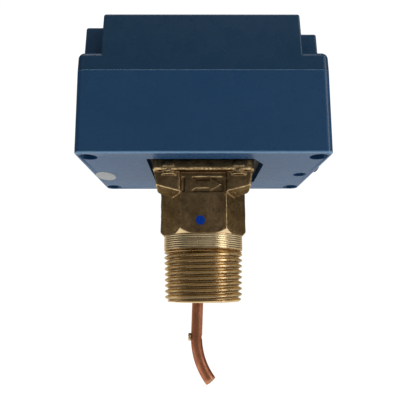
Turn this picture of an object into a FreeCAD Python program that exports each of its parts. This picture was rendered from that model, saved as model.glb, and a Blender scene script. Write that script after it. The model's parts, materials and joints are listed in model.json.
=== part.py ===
"""Paddle flow switch: a plastic switch housing on a cast brass body with a one inch pipe thread.

Frame: +X is the flow direction, +Z is up, millimetres. The origin lies on the pipe thread's axis,
at the upper end of the thread. Water pushes the copper arm towards +X. The arm turns a rocker on
its pivot pin, and the rocker presses the snap switch against the range spring.
"""
import FreeCAD, Part
import math
import os
from FreeCAD import Vector

# ---------------------------------------------------------------- driving dimensions, millimetres
# Pipe thread and brass body
THREAD_RADIUS = 16.62          # R 1 external thread over its crests
THREAD_LENGTH = 20.2
THREAD_END_CHAMFER = 1.2
RELIEF_RADIUS = 15.2           # runout groove between the thread and the collar
RELIEF_LENGTH = 0.8
COLLAR_RADIUS = 16.72
COLLAR_TOP = 6.6
COLLAR_CHAMFER = 0.6
HEX_ACROSS_FLATS = 32.0
HEX_CHAMFER_HEIGHT = 2.1       # turned bevel that cuts the six corners above the collar
FLANGE_GAP = 2.3               # front and back, between the flange and the housing's cut-out
FLANGE_BOTTOM = 31.2
FLANGE_CORNER = 4.0
BOSS_RADIUS = 3.4              # screw bosses under the flange
BOSS_DEPTH = 1.6
EAR_INNER = 9.3                # the four corner ears start this far from both middle planes
EAR_TOP_STEP_X = 0.5           # the ears' outer faces lie this far inside the flange's edge
EAR_TOP_STEP_Y = 2.6
EAR_BOTTOM_STEP_X = 1.9
EAR_BOTTOM_STEP_Y = 3.5
EAR_LOW = 22.0                 # height at which the ears run out on the hexagon's flats
EAR_SLOPE = 0.4                # rise of the ears' undersides per millimetre of radius
BORE_RADIUS = 10.0
CAVITY_RADIUS = 12.0           # room for the bellows
CAVITY_BOTTOM = 20.0
PANEL_LEFT = -8.9              # recessed panel with the flow arrow, on the front flat
PANEL_RIGHT = 8.0
PANEL_BOTTOM = 23.2
PANEL_TOP = 29.4
PANEL_DEPTH = 0.6
ARROW_RAISE = 0.5
ROOT = 0.2               # how far raised forms reach into what carries them
ARROW_TAIL_X = -7.4
ARROW_TIP_X = 7.3
ARROW_HALF_HEAD = 2.7
ARROW_HALF_SHAFT = 1.5
ARROW_HEAD_LENGTH = 4.7
ARROW_TAIL_LENGTH = 2.7
ARROW_TAIL_SLOPE = 1.5

# Housing
BASE_WIDTH = 97.7
BASE_DEPTH = 61.4
BASE_BOTTOM = 34.8
BASE_HEIGHT = 33.5
RIM_HEIGHT = 7.7               # cover flange around the four corner notches
CROWN_HEIGHT = 16.6            # raised cross-shaped middle of the cover
DRAFT_DEG = 0.77
CORNER_RADIUS = 3.0
EDGE_FILLET = 2.3              # round along the cover rim's top
BASE_FILLET = 0.8              # round along the base's bottom
WALL = 3.2
FLOOR = 3.5
NOTCH_LEFT_WIDTH = 9.1
NOTCH_LEFT_DEPTH = 8.8
NOTCH_RIGHT_WIDTH = 10.2
NOTCH_RIGHT_DEPTH = 13.4
OPENING_LEFT_GAP = 1.9         # from the brass flange to the cut-out in the floor
OPENING_RIGHT_GAP = 4.1
OPENING_CORNER_X = 4.6         # cut corners on the right side of the cut-out
OPENING_CORNER_Y = 8.0
OPENING_ROUND = 0.8
POST_INSET_X = 4.55            # cover screw posts, from the housing's outer faces
POST_INSET_Y = 5.3
POST_RADIUS = 5.2
POST_TRIM_ROUND = 1.5
INNER_ROUND = 1.0
CROWN_ROUND = 1.1              # upright corners of the raised cross
CROWN_INNER_ROUND = 0.8
CROWN_FILLET = 0.9
POCKET_RADIUS = 3.5            # moulding pockets seen from below
POCKET_DEPTH = 9.0
SIDE_POCKET_INSET = 5.45
SIDE_POCKET_Y = 1.3
SIDE_POCKET_RADIUS = 2.9
SIDE_POCKET_DEPTH = 2.0
GASKET_WIDTH = 1.4
GASKET_DEPTH = 1.2
GASKET_ROUND = 2.0
GASKET_INNER_ROUND = 0.9
GASKET_GAP = 0.05
COVER_SCREW_RADIUS = 2.0
COVER_SCREW_HEAD_RADIUS = 3.4
COVER_SCREW_HEAD = 2.8
COVER_SCREW_SINK = 3.3         # counterbore depth below the rim
COVER_SCREW_REACH = 12.0       # thread in the post
COVER_HOLE_GAP = 0.3
COVER_SINK_GAP = 0.4
CONDUIT_INSET_Y = 22.2         # from the housing's rear face
CONDUIT_Z = 50.7
CONDUIT_RADIUS = 10.0
CONDUIT_GAP = 0.2
WASHER_GAP = 0.1
PLUG_RADIUS = 12.5
PLUG_FLANGE = 3.0
PLUG_FILLET = 0.8
PLUG_REACH = 2.5               # stub beyond the locknut
PLUG_WALL = 2.0
COIN_SLOT_DEPTH = 1.2
COIN_SLOT_WIDTH = 2.0
COIN_SLOT_LENGTH = 12.0
WASHER_RADIUS = 11.8
WASHER_THICK = 1.2
LOCKNUT_RADIUS = 12.2
LOCKNUT_THICK = 3.0

# Mechanism
GASKET_SHEET = 1.0
PLATE_THICK = 2.0
PLATE_LEFT = -31.0
PLATE_RIGHT = 34.0
PLATE_WALL_GAP = 2.0           # from the plate to the housing's inner wall
PLATE_OVERLAP = 2.7            # plate beyond the cut-out, front and back
PLATE_CORNER = 3.0
ROD_HOLE_RADIUS = 7.0
FLANGE_SCREW_INSET_X = 6.5     # from the flange's edge
FLANGE_SCREW_INSET_Y = 4.3
M4_RADIUS = 2.0
M4_HEAD_RADIUS = 3.6
M4_HEAD = 2.6
FLANGE_SCREW_DEPTH = 5.0       # thread in the brass flange
DRILL_POINT = 0.5              # blind holes run this far past their screws
PLATE_SCREW_X = 28.0
PLATE_SCREW_INSET_Y = 3.7
FLOOR_SKIN = 1.0               # floor left below the plate screws
SCREW_END_GAP = 0.3
M3_RADIUS = 1.5
M3_HEAD_RADIUS = 2.8
M3_HEAD = 2.0
M3_NUT_RADIUS = 3.1            # over its corners
M3_NUT = 2.4
PIVOT_Z = 47.0
PIN_RADIUS = 1.5
PIN_LENGTH = 23.0
CLIP_THICK = 0.8
CLIP_WIDTH = 1.6
CLIP_MOUTH = 1.8
CLIP_LIP = 0.3
RUNNING = 0.05                 # radial clearance of every running fit
SCREW_GAP = 0.05               # radial clearance of a screw in its hole
SHEET = 1.5                    # bracket sheet metal
EAR_Y = 8.0                    # inner face of the pivot bracket's ears
BRACKET_HALF_X = 12.0
BRACKET_EAR_HALF = 5.0
BRACKET_HOLE_RADIUS = 5.5
BRACKET_SCREW_X = 9.2
LEAN_DEG = 2.02                # arm at rest leans upstream
ARM_RADIUS = 2.3
STRAIGHT_END_Z = -34.0         # along the arm, where the tip starts to turn downstream
BEND_RADIUS = 27.0
BEND_DEG = 40.0
PADDLE_SCREW_Z = -34.6
PADDLE_SCREW_RADIUS = 1.0
PADDLE_HEAD_RADIUS = 1.5
PADDLE_HEAD = 1.1
PADDLE_SCREW_SHORT = 0.3       # screw's end below the arm's surface
PADDLE_SLOT_DEPTH = 0.4
PADDLE_SLOT_WIDTH = 0.5
ROD_RADIUS = 2.0
ROD_GRIP = 0.6                 # rod inside the rocker's hub
CUP_RADIUS = 7.0
CUP_BOTTOM = 17.0
CUP_HEIGHT = 3.0
SOCKET_RADIUS = 3.6
SOCKET_LENGTH = 5.0
BELLOWS_OUTER = 9.0
BELLOWS_INNER = 6.2
BELLOWS_FOLDS = 6
BELLOWS_WALL = 0.35
BELLOWS_GAP = 0.4              # keeps the folds clear of the leaning cup
RING_HEIGHT = 3.0
RING_INNER = 6.2
RING_GAP = 0.02
HUB_RADIUS = 3.4
HUB_HALF = 7.4
LEVER_HALF = 3.5
LEVER_THICK = 2.0
SPRING_X = 16.0                # range spring and screw
LEVER_RIGHT = 20.0
LEVER_LEFT = -21.0
SPRING_SEAT = 0.8
SPRING_SEAT_GAP = 0.4
SWITCH_WALL_GAP = 2.65         # between the switch and the left wall
SWITCH_RIGHT = -13.0
SWITCH_HALF = 5.5
SWITCH_LIFT = 0.7              # case above the plate
SWITCH_HEIGHT = 15.9
SWITCH_ROUND = 0.8
SWITCH_SCREW_RISE = 4.0
SWITCH_SCREW_INSET = 3.9
SWITCH_SCREW_REACH = 3.4
SWITCH_FOOT_LENGTH = 14.0
SWITCH_FOOT_WIDTH = 6.5
SWITCH_FOOT_SCREW_X = 2.9
SWITCH_FOOT_SCREW_Y = 3.6
SWITCH_FOOT_SPACING = 5.6
UPRIGHT_INSET = 1.0
UPRIGHT_DROP = 5.0
PLUNGER_X = -18.0
PLUNGER_RADIUS = 1.6
PLUNGER_PROUD = 1.9
PLUNGER_SUNK = 4.0
PLUNGER_ROOM = 1.8
PLUNGER_FILLET = 0.5
LEVER_GAP = 0.3                # rocker's nose above the plunger at rest
NOSE_RADIUS = 1.0
NOSE_PROUD = 0.8
TERMINAL_PITCH = 5.6
TERMINAL_INSET = 3.6
TERMINAL_RADIUS = 2.4
TERMINAL_HEAD = 2.2
TERMINAL_REACH = 4.5
RANGE_WALL_X = 24.2
RANGE_TOP = 62.0
RANGE_HALF_Y = 6.0
RANGE_LUG_REACH = 5.5
RANGE_FOOT_LENGTH = 7.4
RANGE_FOOT_HALF = 7.2
RANGE_FOOT_SCREW_X = 4.0
RANGE_FOOT_SCREW_Y = 3.6
RANGE_SCREW_RADIUS = 2.0
RANGE_HEAD_RADIUS = 4.2
RANGE_HEAD = 2.6
RANGE_SCREW_GAP = 2.6          # screw's end above the rocker
RANGE_NUT_DROP = 5.5           # nut's lower face below the lug
RANGE_NUT = 3.0
RANGE_NUT_HALF = 4.5
RANGE_NUT_GAP = 0.3
RANGE_CLIP_RADIUS = 3.4
RANGE_CLIP = 0.8
SPRING_RADIUS = 3.6
SPRING_WIRE = 0.5
SPRING_PITCH = 1.48
SPRING_GAP = 0.05
GROUND_X = 29.0
GROUND_GAP = 5.1               # from the range bracket's foot to the earth screw's middle
SLOT_WIDTH = 0.9
SLOT_DEPTH = 0.9

# ---------------------------------------------------------------- derived heights and places
PARTING = BASE_BOTTOM + BASE_HEIGHT
RIM_TOP = PARTING + RIM_HEIGHT
COVER_TOP = RIM_TOP + CROWN_HEIGHT
FLOOR_TOP = BASE_BOTTOM + FLOOR
PLATE_BOTTOM = FLOOR_TOP + GASKET_SHEET
PLATE_TOP = PLATE_BOTTOM + PLATE_THICK
CONDUIT_Y = BASE_DEPTH / 2 - CONDUIT_INSET_Y
POST_X = BASE_WIDTH / 2 - POST_INSET_X
POST_Y = BASE_DEPTH / 2 - POST_INSET_Y
SIDE_POCKET_X = BASE_WIDTH / 2 - SIDE_POCKET_INSET
PLATE_HALF_DEPTH = BASE_DEPTH / 2 - WALL - PLATE_WALL_GAP
PLATE_SCREW_Y = PLATE_HALF_DEPTH - PLATE_SCREW_INSET_Y
OPENING_HALF_DEPTH = PLATE_HALF_DEPTH - PLATE_OVERLAP
FLANGE_HALF = OPENING_HALF_DEPTH - FLANGE_GAP
OPENING_LEFT = -FLANGE_HALF - OPENING_LEFT_GAP
OPENING_RIGHT = FLANGE_HALF + OPENING_RIGHT_GAP
EAR_TOP_OUT_X = FLANGE_HALF - EAR_TOP_STEP_X
EAR_TOP_OUT_Y = FLANGE_HALF - EAR_TOP_STEP_Y
EAR_BOTTOM_OUT_X = FLANGE_HALF - EAR_BOTTOM_STEP_X
EAR_BOTTOM_OUT_Y = FLANGE_HALF - EAR_BOTTOM_STEP_Y
FLANGE_SCREW_X = FLANGE_HALF - FLANGE_SCREW_INSET_X
FLANGE_SCREW_Y = FLANGE_HALF - FLANGE_SCREW_INSET_Y
HEX_CORNER = HEX_ACROSS_FLATS / math.sqrt(3)
FRONT_FLAT = -HEX_ACROSS_FLATS / 2
THREAD_BOTTOM = -THREAD_LENGTH
COLLAR_BOTTOM = RELIEF_LENGTH
SWITCH_BOTTOM = PLATE_TOP + SWITCH_LIFT
SWITCH_TOP = SWITCH_BOTTOM + SWITCH_HEIGHT
SWITCH_SCREW_Z = SWITCH_BOTTOM + SWITCH_SCREW_RISE
SWITCH_LEFT = -BASE_WIDTH / 2 + WALL + SWITCH_WALL_GAP
TERMINAL_X = SWITCH_LEFT + TERMINAL_INSET
PLUNGER_TOP = SWITCH_TOP + PLUNGER_PROUD
LEVER_ARM_Z = PLUNGER_TOP + LEVER_GAP + NOSE_PROUD
LEVER_TOP = PIVOT_Z + LEVER_THICK / 2
RANGE_SCREW_BOTTOM = LEVER_TOP + RANGE_SCREW_GAP
RANGE_NUT_BOTTOM = RANGE_TOP - RANGE_NUT_DROP
GROUND_Y = -RANGE_FOOT_HALF - GROUND_GAP
CONE = math.tan(math.radians(DRAFT_DEG))
OVER = 0.5                     # how far a cutting solid runs past a face


# ---------------------------------------------------------------- helpers
def box(x, y, z):
    """A block given by its (low, high) extent on each axis."""
    size = [high - low for low, high in (x, y, z)]
    return Part.makeBox(size[0], size[1], size[2], Vector(x[0], y[0], z[0]))


def rod(radius, low, high, x=0.0, y=0.0):
    """A vertical cylinder."""
    return Part.makeCylinder(radius, high - low, Vector(x, y, low))


def rod_along(axis, radius, low, high, other, z):
    """A horizontal cylinder along 'x' or 'y'; other is its place on the remaining level axis."""
    if axis == "x":
        return Part.makeCylinder(radius, high - low, Vector(low, other, z), Vector(1, 0, 0))
    return Part.makeCylinder(radius, high - low, Vector(other, low, z), Vector(0, 1, 0))


def turned(points):
    """A solid of revolution about Z from (radius, height) points."""
    corners = [Vector(radius, 0, height) for radius, height in points]
    face = Part.Face(Part.makePolygon(corners + corners[:1]))
    return face.revolve(Vector(0, 0, 0), Vector(0, 0, 1), 360)


def outline(points, radius, z):
    """A closed level wire through (x, y) points, with every corner rounded to the radius."""
    corners = [Vector(x, y, z) for x, y in points]
    count = len(corners)
    starts = []
    ends = []
    middles = []
    for index, corner in enumerate(corners):
        back = (corners[index - 1] - corner).normalize()
        ahead = (corners[(index + 1) % count] - corner).normalize()
        half = back.getAngle(ahead) / 2
        middle = (back + ahead).normalize()
        starts.append(corner + back * (radius / math.tan(half)))
        ends.append(corner + ahead * (radius / math.tan(half)))
        middles.append(corner + middle * (radius / math.sin(half) - radius))
    edges = []
    for index in range(count):
        edges.append(Part.Arc(starts[index], middles[index], ends[index]).toShape())
        edges.append(Part.LineSegment(ends[index], starts[(index + 1) % count]).toShape())
    return Part.Wire(edges)


def rectangle(half_x, half_y):
    """Corner points of a rectangle about the origin."""
    return [(-half_x, -half_y), (half_x, -half_y), (half_x, half_y), (-half_x, half_y)]


def rounded_block(half_x, half_y, radius, low, high):
    """A vertical prism with rounded corners, centred on the Z axis."""
    face = Part.Face(outline(rectangle(half_x, half_y), radius, low))
    return face.extrude(Vector(0, 0, high - low))


def fused(shapes):
    """All shapes as one clean solid."""
    whole = shapes[0].multiFuse(shapes[1:])
    return whole.removeSplitter()


def at_corners(x, y):
    """The four places (+-x, +-y)."""
    return [(side * x, end * y) for side in (-1, 1) for end in (-1, 1)]


def edges_at(shape, z):
    """The shape's edges that lie wholly at one height."""
    found = []
    for edge in shape.Edges:
        bounds = edge.BoundBox
        if abs(bounds.ZMin - z) < 1e-4 and abs(bounds.ZMax - z) < 1e-4:
            found.append(edge)
    return found


def slotted_head(radius, height, low, x, y):
    """A slotted screw head standing on the given height."""
    head = rod(radius, low, low + height, x, y)
    slot = box(
        (x - radius - OVER, x + radius + OVER),
        (y - SLOT_WIDTH / 2, y + SLOT_WIDTH / 2),
        (low + height - SLOT_DEPTH, low + height + OVER),
    )
    return head.cut(slot)


def screw(radius, head_radius, head, seat, depth, x, y):
    """A slotted screw: its head stands on seat and its shank reaches down by depth."""
    shank = rod(radius, seat - depth, seat + OVER, x, y)
    return fused([slotted_head(head_radius, head, seat, x, y), shank])


def leaned(shape):
    """The shape turned about the pivot so that its lower end leans upstream."""
    shape.rotate(Vector(0, 0, PIVOT_Z), Vector(0, 1, 0), LEAN_DEG)
    return shape


def save(name, shape):
    """Writes one node, and says what it holds."""
    os.makedirs("parts", exist_ok=True)
    shape.exportStep("parts/%s.step" % name)
    print("%-24s solids %d valid %s volume %.0f" % (name, len(shape.Solids), shape.isValid(), shape.Volume))


# ---------------------------------------------------------------- housing
def housing_outline(z, inset):
    """Half sizes of the housing at a height: widest at the parting line because of the draft."""
    grow = (min(z, PARTING) - BASE_BOTTOM) * CONE - (max(z, PARTING) - PARTING) * CONE
    return BASE_WIDTH / 2 + grow - inset, BASE_DEPTH / 2 + grow - inset


def housing_block(low, high, inset, radius):
    """A drafted block between two heights, inset from the housing's outer faces."""
    wires = []
    for z in (low, high):
        half_x, half_y = housing_outline(z, inset)
        wires.append(outline(rectangle(half_x, half_y), radius, z))
    return Part.makeLoft(wires, True, True)


def housing_base():
    """Open box with a cut-out in its floor, four cover posts and the conduit hole."""
    shell = housing_block(BASE_BOTTOM, PARTING, 0, CORNER_RADIUS)
    shell = shell.makeFillet(BASE_FILLET, edges_at(shell, BASE_BOTTOM))
    inside = housing_block(FLOOR_TOP, PARTING + OVER, WALL, INNER_ROUND)
    posts = [rod(POST_RADIUS, FLOOR_TOP - OVER, PARTING, x, y) for x, y in at_corners(POST_X, POST_Y)]
    trimmed = [post.common(housing_block(BASE_BOTTOM, PARTING, WALL / 2, POST_TRIM_ROUND)) for post in posts]
    base = fused([shell.cut(inside)] + trimmed)
    opening = [
        (OPENING_LEFT, -OPENING_HALF_DEPTH),
        (OPENING_RIGHT - OPENING_CORNER_X, -OPENING_HALF_DEPTH),
        (OPENING_RIGHT, -OPENING_HALF_DEPTH + OPENING_CORNER_Y),
        (OPENING_RIGHT, OPENING_HALF_DEPTH - OPENING_CORNER_Y),
        (OPENING_RIGHT - OPENING_CORNER_X, OPENING_HALF_DEPTH),
        (OPENING_LEFT, OPENING_HALF_DEPTH),
    ]
    cut_out = Part.Face(outline(opening, OPENING_ROUND, BASE_BOTTOM - OVER))
    cuts = [cut_out.extrude(Vector(0, 0, FLOOR + 2 * OVER))]
    thread_end = PARTING - COVER_SCREW_REACH - DRILL_POINT
    for x, y in at_corners(POST_X, POST_Y):
        cuts.append(rod(POCKET_RADIUS, BASE_BOTTOM - OVER, BASE_BOTTOM + POCKET_DEPTH, x, y))
        cuts.append(rod(COVER_SCREW_RADIUS + SCREW_GAP, thread_end, PARTING + OVER, x, y))
    for side in (-1, 1):
        cuts.append(rod(
            SIDE_POCKET_RADIUS, BASE_BOTTOM - OVER, BASE_BOTTOM + SIDE_POCKET_DEPTH,
            side * SIDE_POCKET_X, SIDE_POCKET_Y,
        ))
    for x, y in at_corners(PLATE_SCREW_X, PLATE_SCREW_Y):
        cuts.append(rod(M3_RADIUS + SCREW_GAP, BASE_BOTTOM + FLOOR_SKIN, FLOOR_TOP + OVER, x, y))
    wall_x = BASE_WIDTH / 2
    cuts.append(rod_along(
        "x", CONDUIT_RADIUS + CONDUIT_GAP, wall_x - 2 * WALL, wall_x + WALL, CONDUIT_Y, CONDUIT_Z
    ))
    cuts.append(gasket_ring(PARTING - GASKET_DEPTH, PARTING + OVER, 0))
    for cutter in cuts:
        base = base.cut(cutter)
    return base


def gasket_ring(low, high, shrink):
    """Rectangular ring that follows the middle of the housing wall."""
    half_x, half_y = housing_outline(PARTING, WALL / 2)
    wide = GASKET_WIDTH / 2 - shrink
    outer = rounded_block(half_x + wide, half_y + wide, GASKET_ROUND, low, high)
    return outer.cut(rounded_block(half_x - wide, half_y - wide, GASKET_INNER_ROUND, low - OVER, high + OVER))


def crown_points(z, inset):
    """The cross-shaped plan of the cover's raised middle at a height."""
    half_x, half_y = housing_outline(z, inset)
    slope = (z - RIM_TOP) * CONE
    left = half_x - NOTCH_LEFT_WIDTH - slope
    right = half_x - NOTCH_RIGHT_WIDTH - slope
    left_y = half_y - NOTCH_LEFT_DEPTH - slope
    right_y = half_y - NOTCH_RIGHT_DEPTH - slope
    return [
        (-half_x, -left_y), (-left, -left_y), (-left, -half_y), (right, -half_y),
        (right, -right_y), (half_x, -right_y), (half_x, right_y), (right, right_y),
        (right, half_y), (-left, half_y), (-left, left_y), (-half_x, left_y),
    ]


def crown_block(low, high, inset, radius):
    """The cross-shaped block between two heights."""
    wires = [outline(crown_points(z, inset), radius, z) for z in (low, high)]
    return Part.makeLoft(wires, True, True)


def housing_cover():
    """Thin moulded lid: a flat rim with four corner notches around a raised cross."""
    rim = housing_block(PARTING, RIM_TOP, 0, CORNER_RADIUS)
    rim = rim.makeFillet(EDGE_FILLET, edges_at(rim, RIM_TOP))
    crown = crown_block(PARTING, COVER_TOP, 0, CROWN_ROUND)
    crown = crown.makeFillet(CROWN_FILLET, edges_at(crown, COVER_TOP))
    inside = crown_block(PARTING - OVER, COVER_TOP - WALL, WALL, CROWN_INNER_ROUND)
    cover = fused([rim, crown]).cut(inside)
    for x, y in at_corners(POST_X, POST_Y):
        cover = cover.cut(rod(COVER_SCREW_RADIUS + COVER_HOLE_GAP, PARTING - OVER, RIM_TOP + OVER, x, y))
        sink = rod(COVER_SCREW_HEAD_RADIUS + COVER_SINK_GAP, RIM_TOP - COVER_SCREW_SINK, RIM_TOP + OVER, x, y)
        cover = cover.cut(sink)
    return cover


def cover_screws():
    """Four captive screws, heads sunk in the rim."""
    seat = RIM_TOP - COVER_SCREW_SINK
    depth = seat - PARTING + COVER_SCREW_REACH
    return Part.makeCompound([
        screw(COVER_SCREW_RADIUS, COVER_SCREW_HEAD_RADIUS, COVER_SCREW_HEAD, seat, depth, x, y)
        for x, y in at_corners(POST_X, POST_Y)
    ])


# ---------------------------------------------------------------- conduit entry
def conduit_face():
    """Outermost place of the right wall beside the conduit hole."""
    return housing_outline(CONDUIT_Z + WASHER_RADIUS, 0)[0]


def conduit_washer():
    """Pale sealing washer under the plug's flange."""
    low = conduit_face()
    high = low + WASHER_THICK
    ring = rod_along("x", WASHER_RADIUS, low, high, CONDUIT_Y, CONDUIT_Z)
    hole = rod_along("x", CONDUIT_RADIUS + WASHER_GAP, low - OVER, high + OVER, CONDUIT_Y, CONDUIT_Z)
    return ring.cut(hole)


def conduit_plug():
    """Black blanking plug: round flange outside, hollow stub through the wall."""
    seat = conduit_face() + WASHER_THICK
    flange = rod_along("x", PLUG_RADIUS, seat, seat + PLUG_FLANGE, CONDUIT_Y, CONDUIT_Z)
    rim = [edge for edge in flange.Edges if abs(edge.BoundBox.XMin - seat - PLUG_FLANGE) < 1e-4]
    flange = flange.makeFillet(PLUG_FILLET, rim)
    inner = conduit_face() - WALL - LOCKNUT_THICK - PLUG_REACH
    stub = rod_along("x", CONDUIT_RADIUS, inner, seat + OVER, CONDUIT_Y, CONDUIT_Z)
    hollow = rod_along("x", CONDUIT_RADIUS - PLUG_WALL, inner - OVER, seat, CONDUIT_Y, CONDUIT_Z)
    coin_slot = box(
        (seat + PLUG_FLANGE - COIN_SLOT_DEPTH, seat + PLUG_FLANGE + OVER),
        (CONDUIT_Y - COIN_SLOT_WIDTH / 2, CONDUIT_Y + COIN_SLOT_WIDTH / 2),
        (CONDUIT_Z - COIN_SLOT_LENGTH / 2, CONDUIT_Z + COIN_SLOT_LENGTH / 2),
    )
    return fused([flange, stub]).cut(hollow).cut(coin_slot)


def conduit_locknut():
    """Hexagonal locknut on the plug's stub, inside the wall."""
    high = housing_outline(CONDUIT_Z - LOCKNUT_RADIUS, WALL)[0]
    low = high - LOCKNUT_THICK
    corners = []
    for step in range(7):
        angle = math.radians(60 * step + 30)
        corners.append(Vector(
            low, CONDUIT_Y + LOCKNUT_RADIUS * math.cos(angle), CONDUIT_Z + LOCKNUT_RADIUS * math.sin(angle)
        ))
    nut = Part.Face(Part.makePolygon(corners)).extrude(Vector(LOCKNUT_THICK, 0, 0))
    return nut.cut(rod_along("x", CONDUIT_RADIUS + SCREW_GAP, low - OVER, high + OVER, CONDUIT_Y, CONDUIT_Z))


# ---------------------------------------------------------------- brass body
def hexagon():
    """Hexagonal part with flats front and back, its lower corners bevelled by turning."""
    corners = []
    for step in range(7):
        angle = math.radians(60 * step)
        corners.append(Vector(HEX_CORNER * math.cos(angle), HEX_CORNER * math.sin(angle), COLLAR_TOP))
    prism = Part.Face(Part.makePolygon(corners)).extrude(Vector(0, 0, FLANGE_BOTTOM - COLLAR_TOP + OVER))
    bevel = turned([
        (0, COLLAR_TOP), (COLLAR_RADIUS, COLLAR_TOP),
        (HEX_CORNER + 0.1, COLLAR_TOP + HEX_CHAMFER_HEIGHT),
        (HEX_CORNER + 0.1, FLANGE_BOTTOM + OVER), (0, FLANGE_BOTTOM + OVER),
    ])
    return prism.common(bevel)


def ear(side, end):
    """One tapered corner ear that carries a flange screw; its underside slopes to the hexagon."""
    wires = []
    for z, out_x, out_y in (
        (EAR_LOW, EAR_BOTTOM_OUT_X, EAR_BOTTOM_OUT_Y),
        (FLANGE_BOTTOM + OVER, EAR_TOP_OUT_X, EAR_TOP_OUT_Y),
    ):
        middle_x = side * (EAR_INNER + out_x) / 2
        middle_y = end * (EAR_INNER + out_y) / 2
        half = rectangle((out_x - EAR_INNER) / 2, (out_y - EAR_INNER) / 2)
        wires.append(outline([(middle_x + x, middle_y + y) for x, y in half], 1.0, z))
    below = turned([
        (0, EAR_LOW - 2 * HEX_ACROSS_FLATS), (2 * HEX_CORNER, EAR_LOW - 2 * HEX_ACROSS_FLATS),
        (2 * HEX_CORNER, EAR_LOW + EAR_SLOPE * (2 * HEX_CORNER - HEX_ACROSS_FLATS / 2)),
        (0, EAR_LOW - EAR_SLOPE * HEX_ACROSS_FLATS / 2),
    ])
    return Part.makeLoft(wires, True, True).cut(below)


def arrow():
    """Raised flow arrow that points downstream."""
    middle = (PANEL_BOTTOM + PANEL_TOP) / 2
    neck = ARROW_TIP_X - ARROW_HEAD_LENGTH
    tail = ARROW_TAIL_X + ARROW_TAIL_LENGTH
    upper = [
        (ARROW_TAIL_X, ARROW_HALF_HEAD), (tail, ARROW_HALF_HEAD),
        (tail + ARROW_TAIL_SLOPE, ARROW_HALF_SHAFT), (neck, ARROW_HALF_SHAFT), (neck, ARROW_HALF_HEAD),
    ]
    lower = [(x, -z) for x, z in reversed(upper)]
    profile = upper + [(ARROW_TIP_X, 0)] + lower
    floor_y = FRONT_FLAT + PANEL_DEPTH
    corners = [Vector(x, floor_y + ROOT, middle + z) for x, z in profile]
    face = Part.Face(Part.makePolygon(corners + corners[:1]))
    return face.extrude(Vector(0, -ARROW_RAISE - ROOT, 0))


def brass_body():
    """Cast body: pipe nipple, turned collar, hexagon, four ears and the square flange."""
    nipple = turned([
        (0, THREAD_BOTTOM), (THREAD_RADIUS - THREAD_END_CHAMFER, THREAD_BOTTOM),
        (THREAD_RADIUS, THREAD_BOTTOM + THREAD_END_CHAMFER), (THREAD_RADIUS, 0),
        (RELIEF_RADIUS, 0), (RELIEF_RADIUS, COLLAR_BOTTOM - COLLAR_CHAMFER),
        (COLLAR_RADIUS, COLLAR_BOTTOM), (COLLAR_RADIUS, COLLAR_TOP), (0, COLLAR_TOP),
    ])
    flange = rounded_block(FLANGE_HALF, FLANGE_HALF, FLANGE_CORNER, FLANGE_BOTTOM, FLOOR_TOP)
    pieces = [nipple, hexagon(), flange]
    pieces += [ear(side, end) for side, end in at_corners(1, 1)]
    for x, y in at_corners(FLANGE_SCREW_X, FLANGE_SCREW_Y):
        pieces.append(rod(BOSS_RADIUS, FLANGE_BOTTOM - BOSS_DEPTH, FLANGE_BOTTOM + OVER, x, y))
    body = fused(pieces)
    body = body.cut(box(
        (PANEL_LEFT, PANEL_RIGHT),
        (FRONT_FLAT - OVER, FRONT_FLAT + PANEL_DEPTH),
        (PANEL_BOTTOM, PANEL_TOP),
    ))
    body = fused([body, arrow()])
    body = body.cut(rod(BORE_RADIUS, THREAD_BOTTOM - OVER, CAVITY_BOTTOM + OVER))
    body = body.cut(rod(CAVITY_RADIUS, CAVITY_BOTTOM, FLOOR_TOP + OVER))
    for x, y in at_corners(FLANGE_SCREW_X, FLANGE_SCREW_Y):
        low = FLOOR_TOP - FLANGE_SCREW_DEPTH - DRILL_POINT
        body = body.cut(rod(M4_RADIUS + SCREW_GAP, low, FLOOR_TOP + OVER, x, y))
    return body


# ---------------------------------------------------------------- plate, gasket and screws
def sheet_plate(low, high, hole_radius):
    """Level sheet over the cut-out, with its screw holes."""
    middle = (PLATE_LEFT + PLATE_RIGHT) / 2
    half = (PLATE_RIGHT - PLATE_LEFT) / 2
    plate = rounded_block(half, PLATE_HALF_DEPTH, PLATE_CORNER, low, high)
    plate.translate(Vector(middle, 0, 0))
    plate = plate.cut(rod(hole_radius, low - OVER, high + OVER))
    for x, y in at_corners(FLANGE_SCREW_X, FLANGE_SCREW_Y):
        plate = plate.cut(rod(M4_RADIUS + SCREW_GAP, low - OVER, high + OVER, x, y))
    for x, y in at_corners(PLATE_SCREW_X, PLATE_SCREW_Y):
        plate = plate.cut(rod(M3_RADIUS + SCREW_GAP, low - OVER, high + OVER, x, y))
    return plate


def mounting_plate():
    """Steel plate that clamps the brass flange to the housing, with tapped holes for the brackets."""
    plate = sheet_plate(PLATE_BOTTOM, PLATE_TOP, ROD_HOLE_RADIUS)
    for x, y in bracket_screw_places() + range_foot_places() + switch_foot_places() + [(GROUND_X, GROUND_Y)]:
        plate = plate.cut(rod(M3_RADIUS + SCREW_GAP, PLATE_BOTTOM - OVER, PLATE_TOP + OVER, x, y))
    return plate


def flange_screws():
    """Four screws that hold the brass flange against the plate."""
    depth = PLATE_TOP - FLOOR_TOP + FLANGE_SCREW_DEPTH
    return Part.makeCompound([
        screw(M4_RADIUS, M4_HEAD_RADIUS, M4_HEAD, PLATE_TOP, depth, x, y)
        for x, y in at_corners(FLANGE_SCREW_X, FLANGE_SCREW_Y)
    ])


def plate_screws():
    """Four screws that hold the plate to the housing floor."""
    depth = PLATE_TOP - BASE_BOTTOM - FLOOR_SKIN - SCREW_END_GAP
    return Part.makeCompound([
        screw(M3_RADIUS, M3_HEAD_RADIUS, M3_HEAD, PLATE_TOP, depth, x, y)
        for x, y in at_corners(PLATE_SCREW_X, PLATE_SCREW_Y)
    ])


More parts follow.
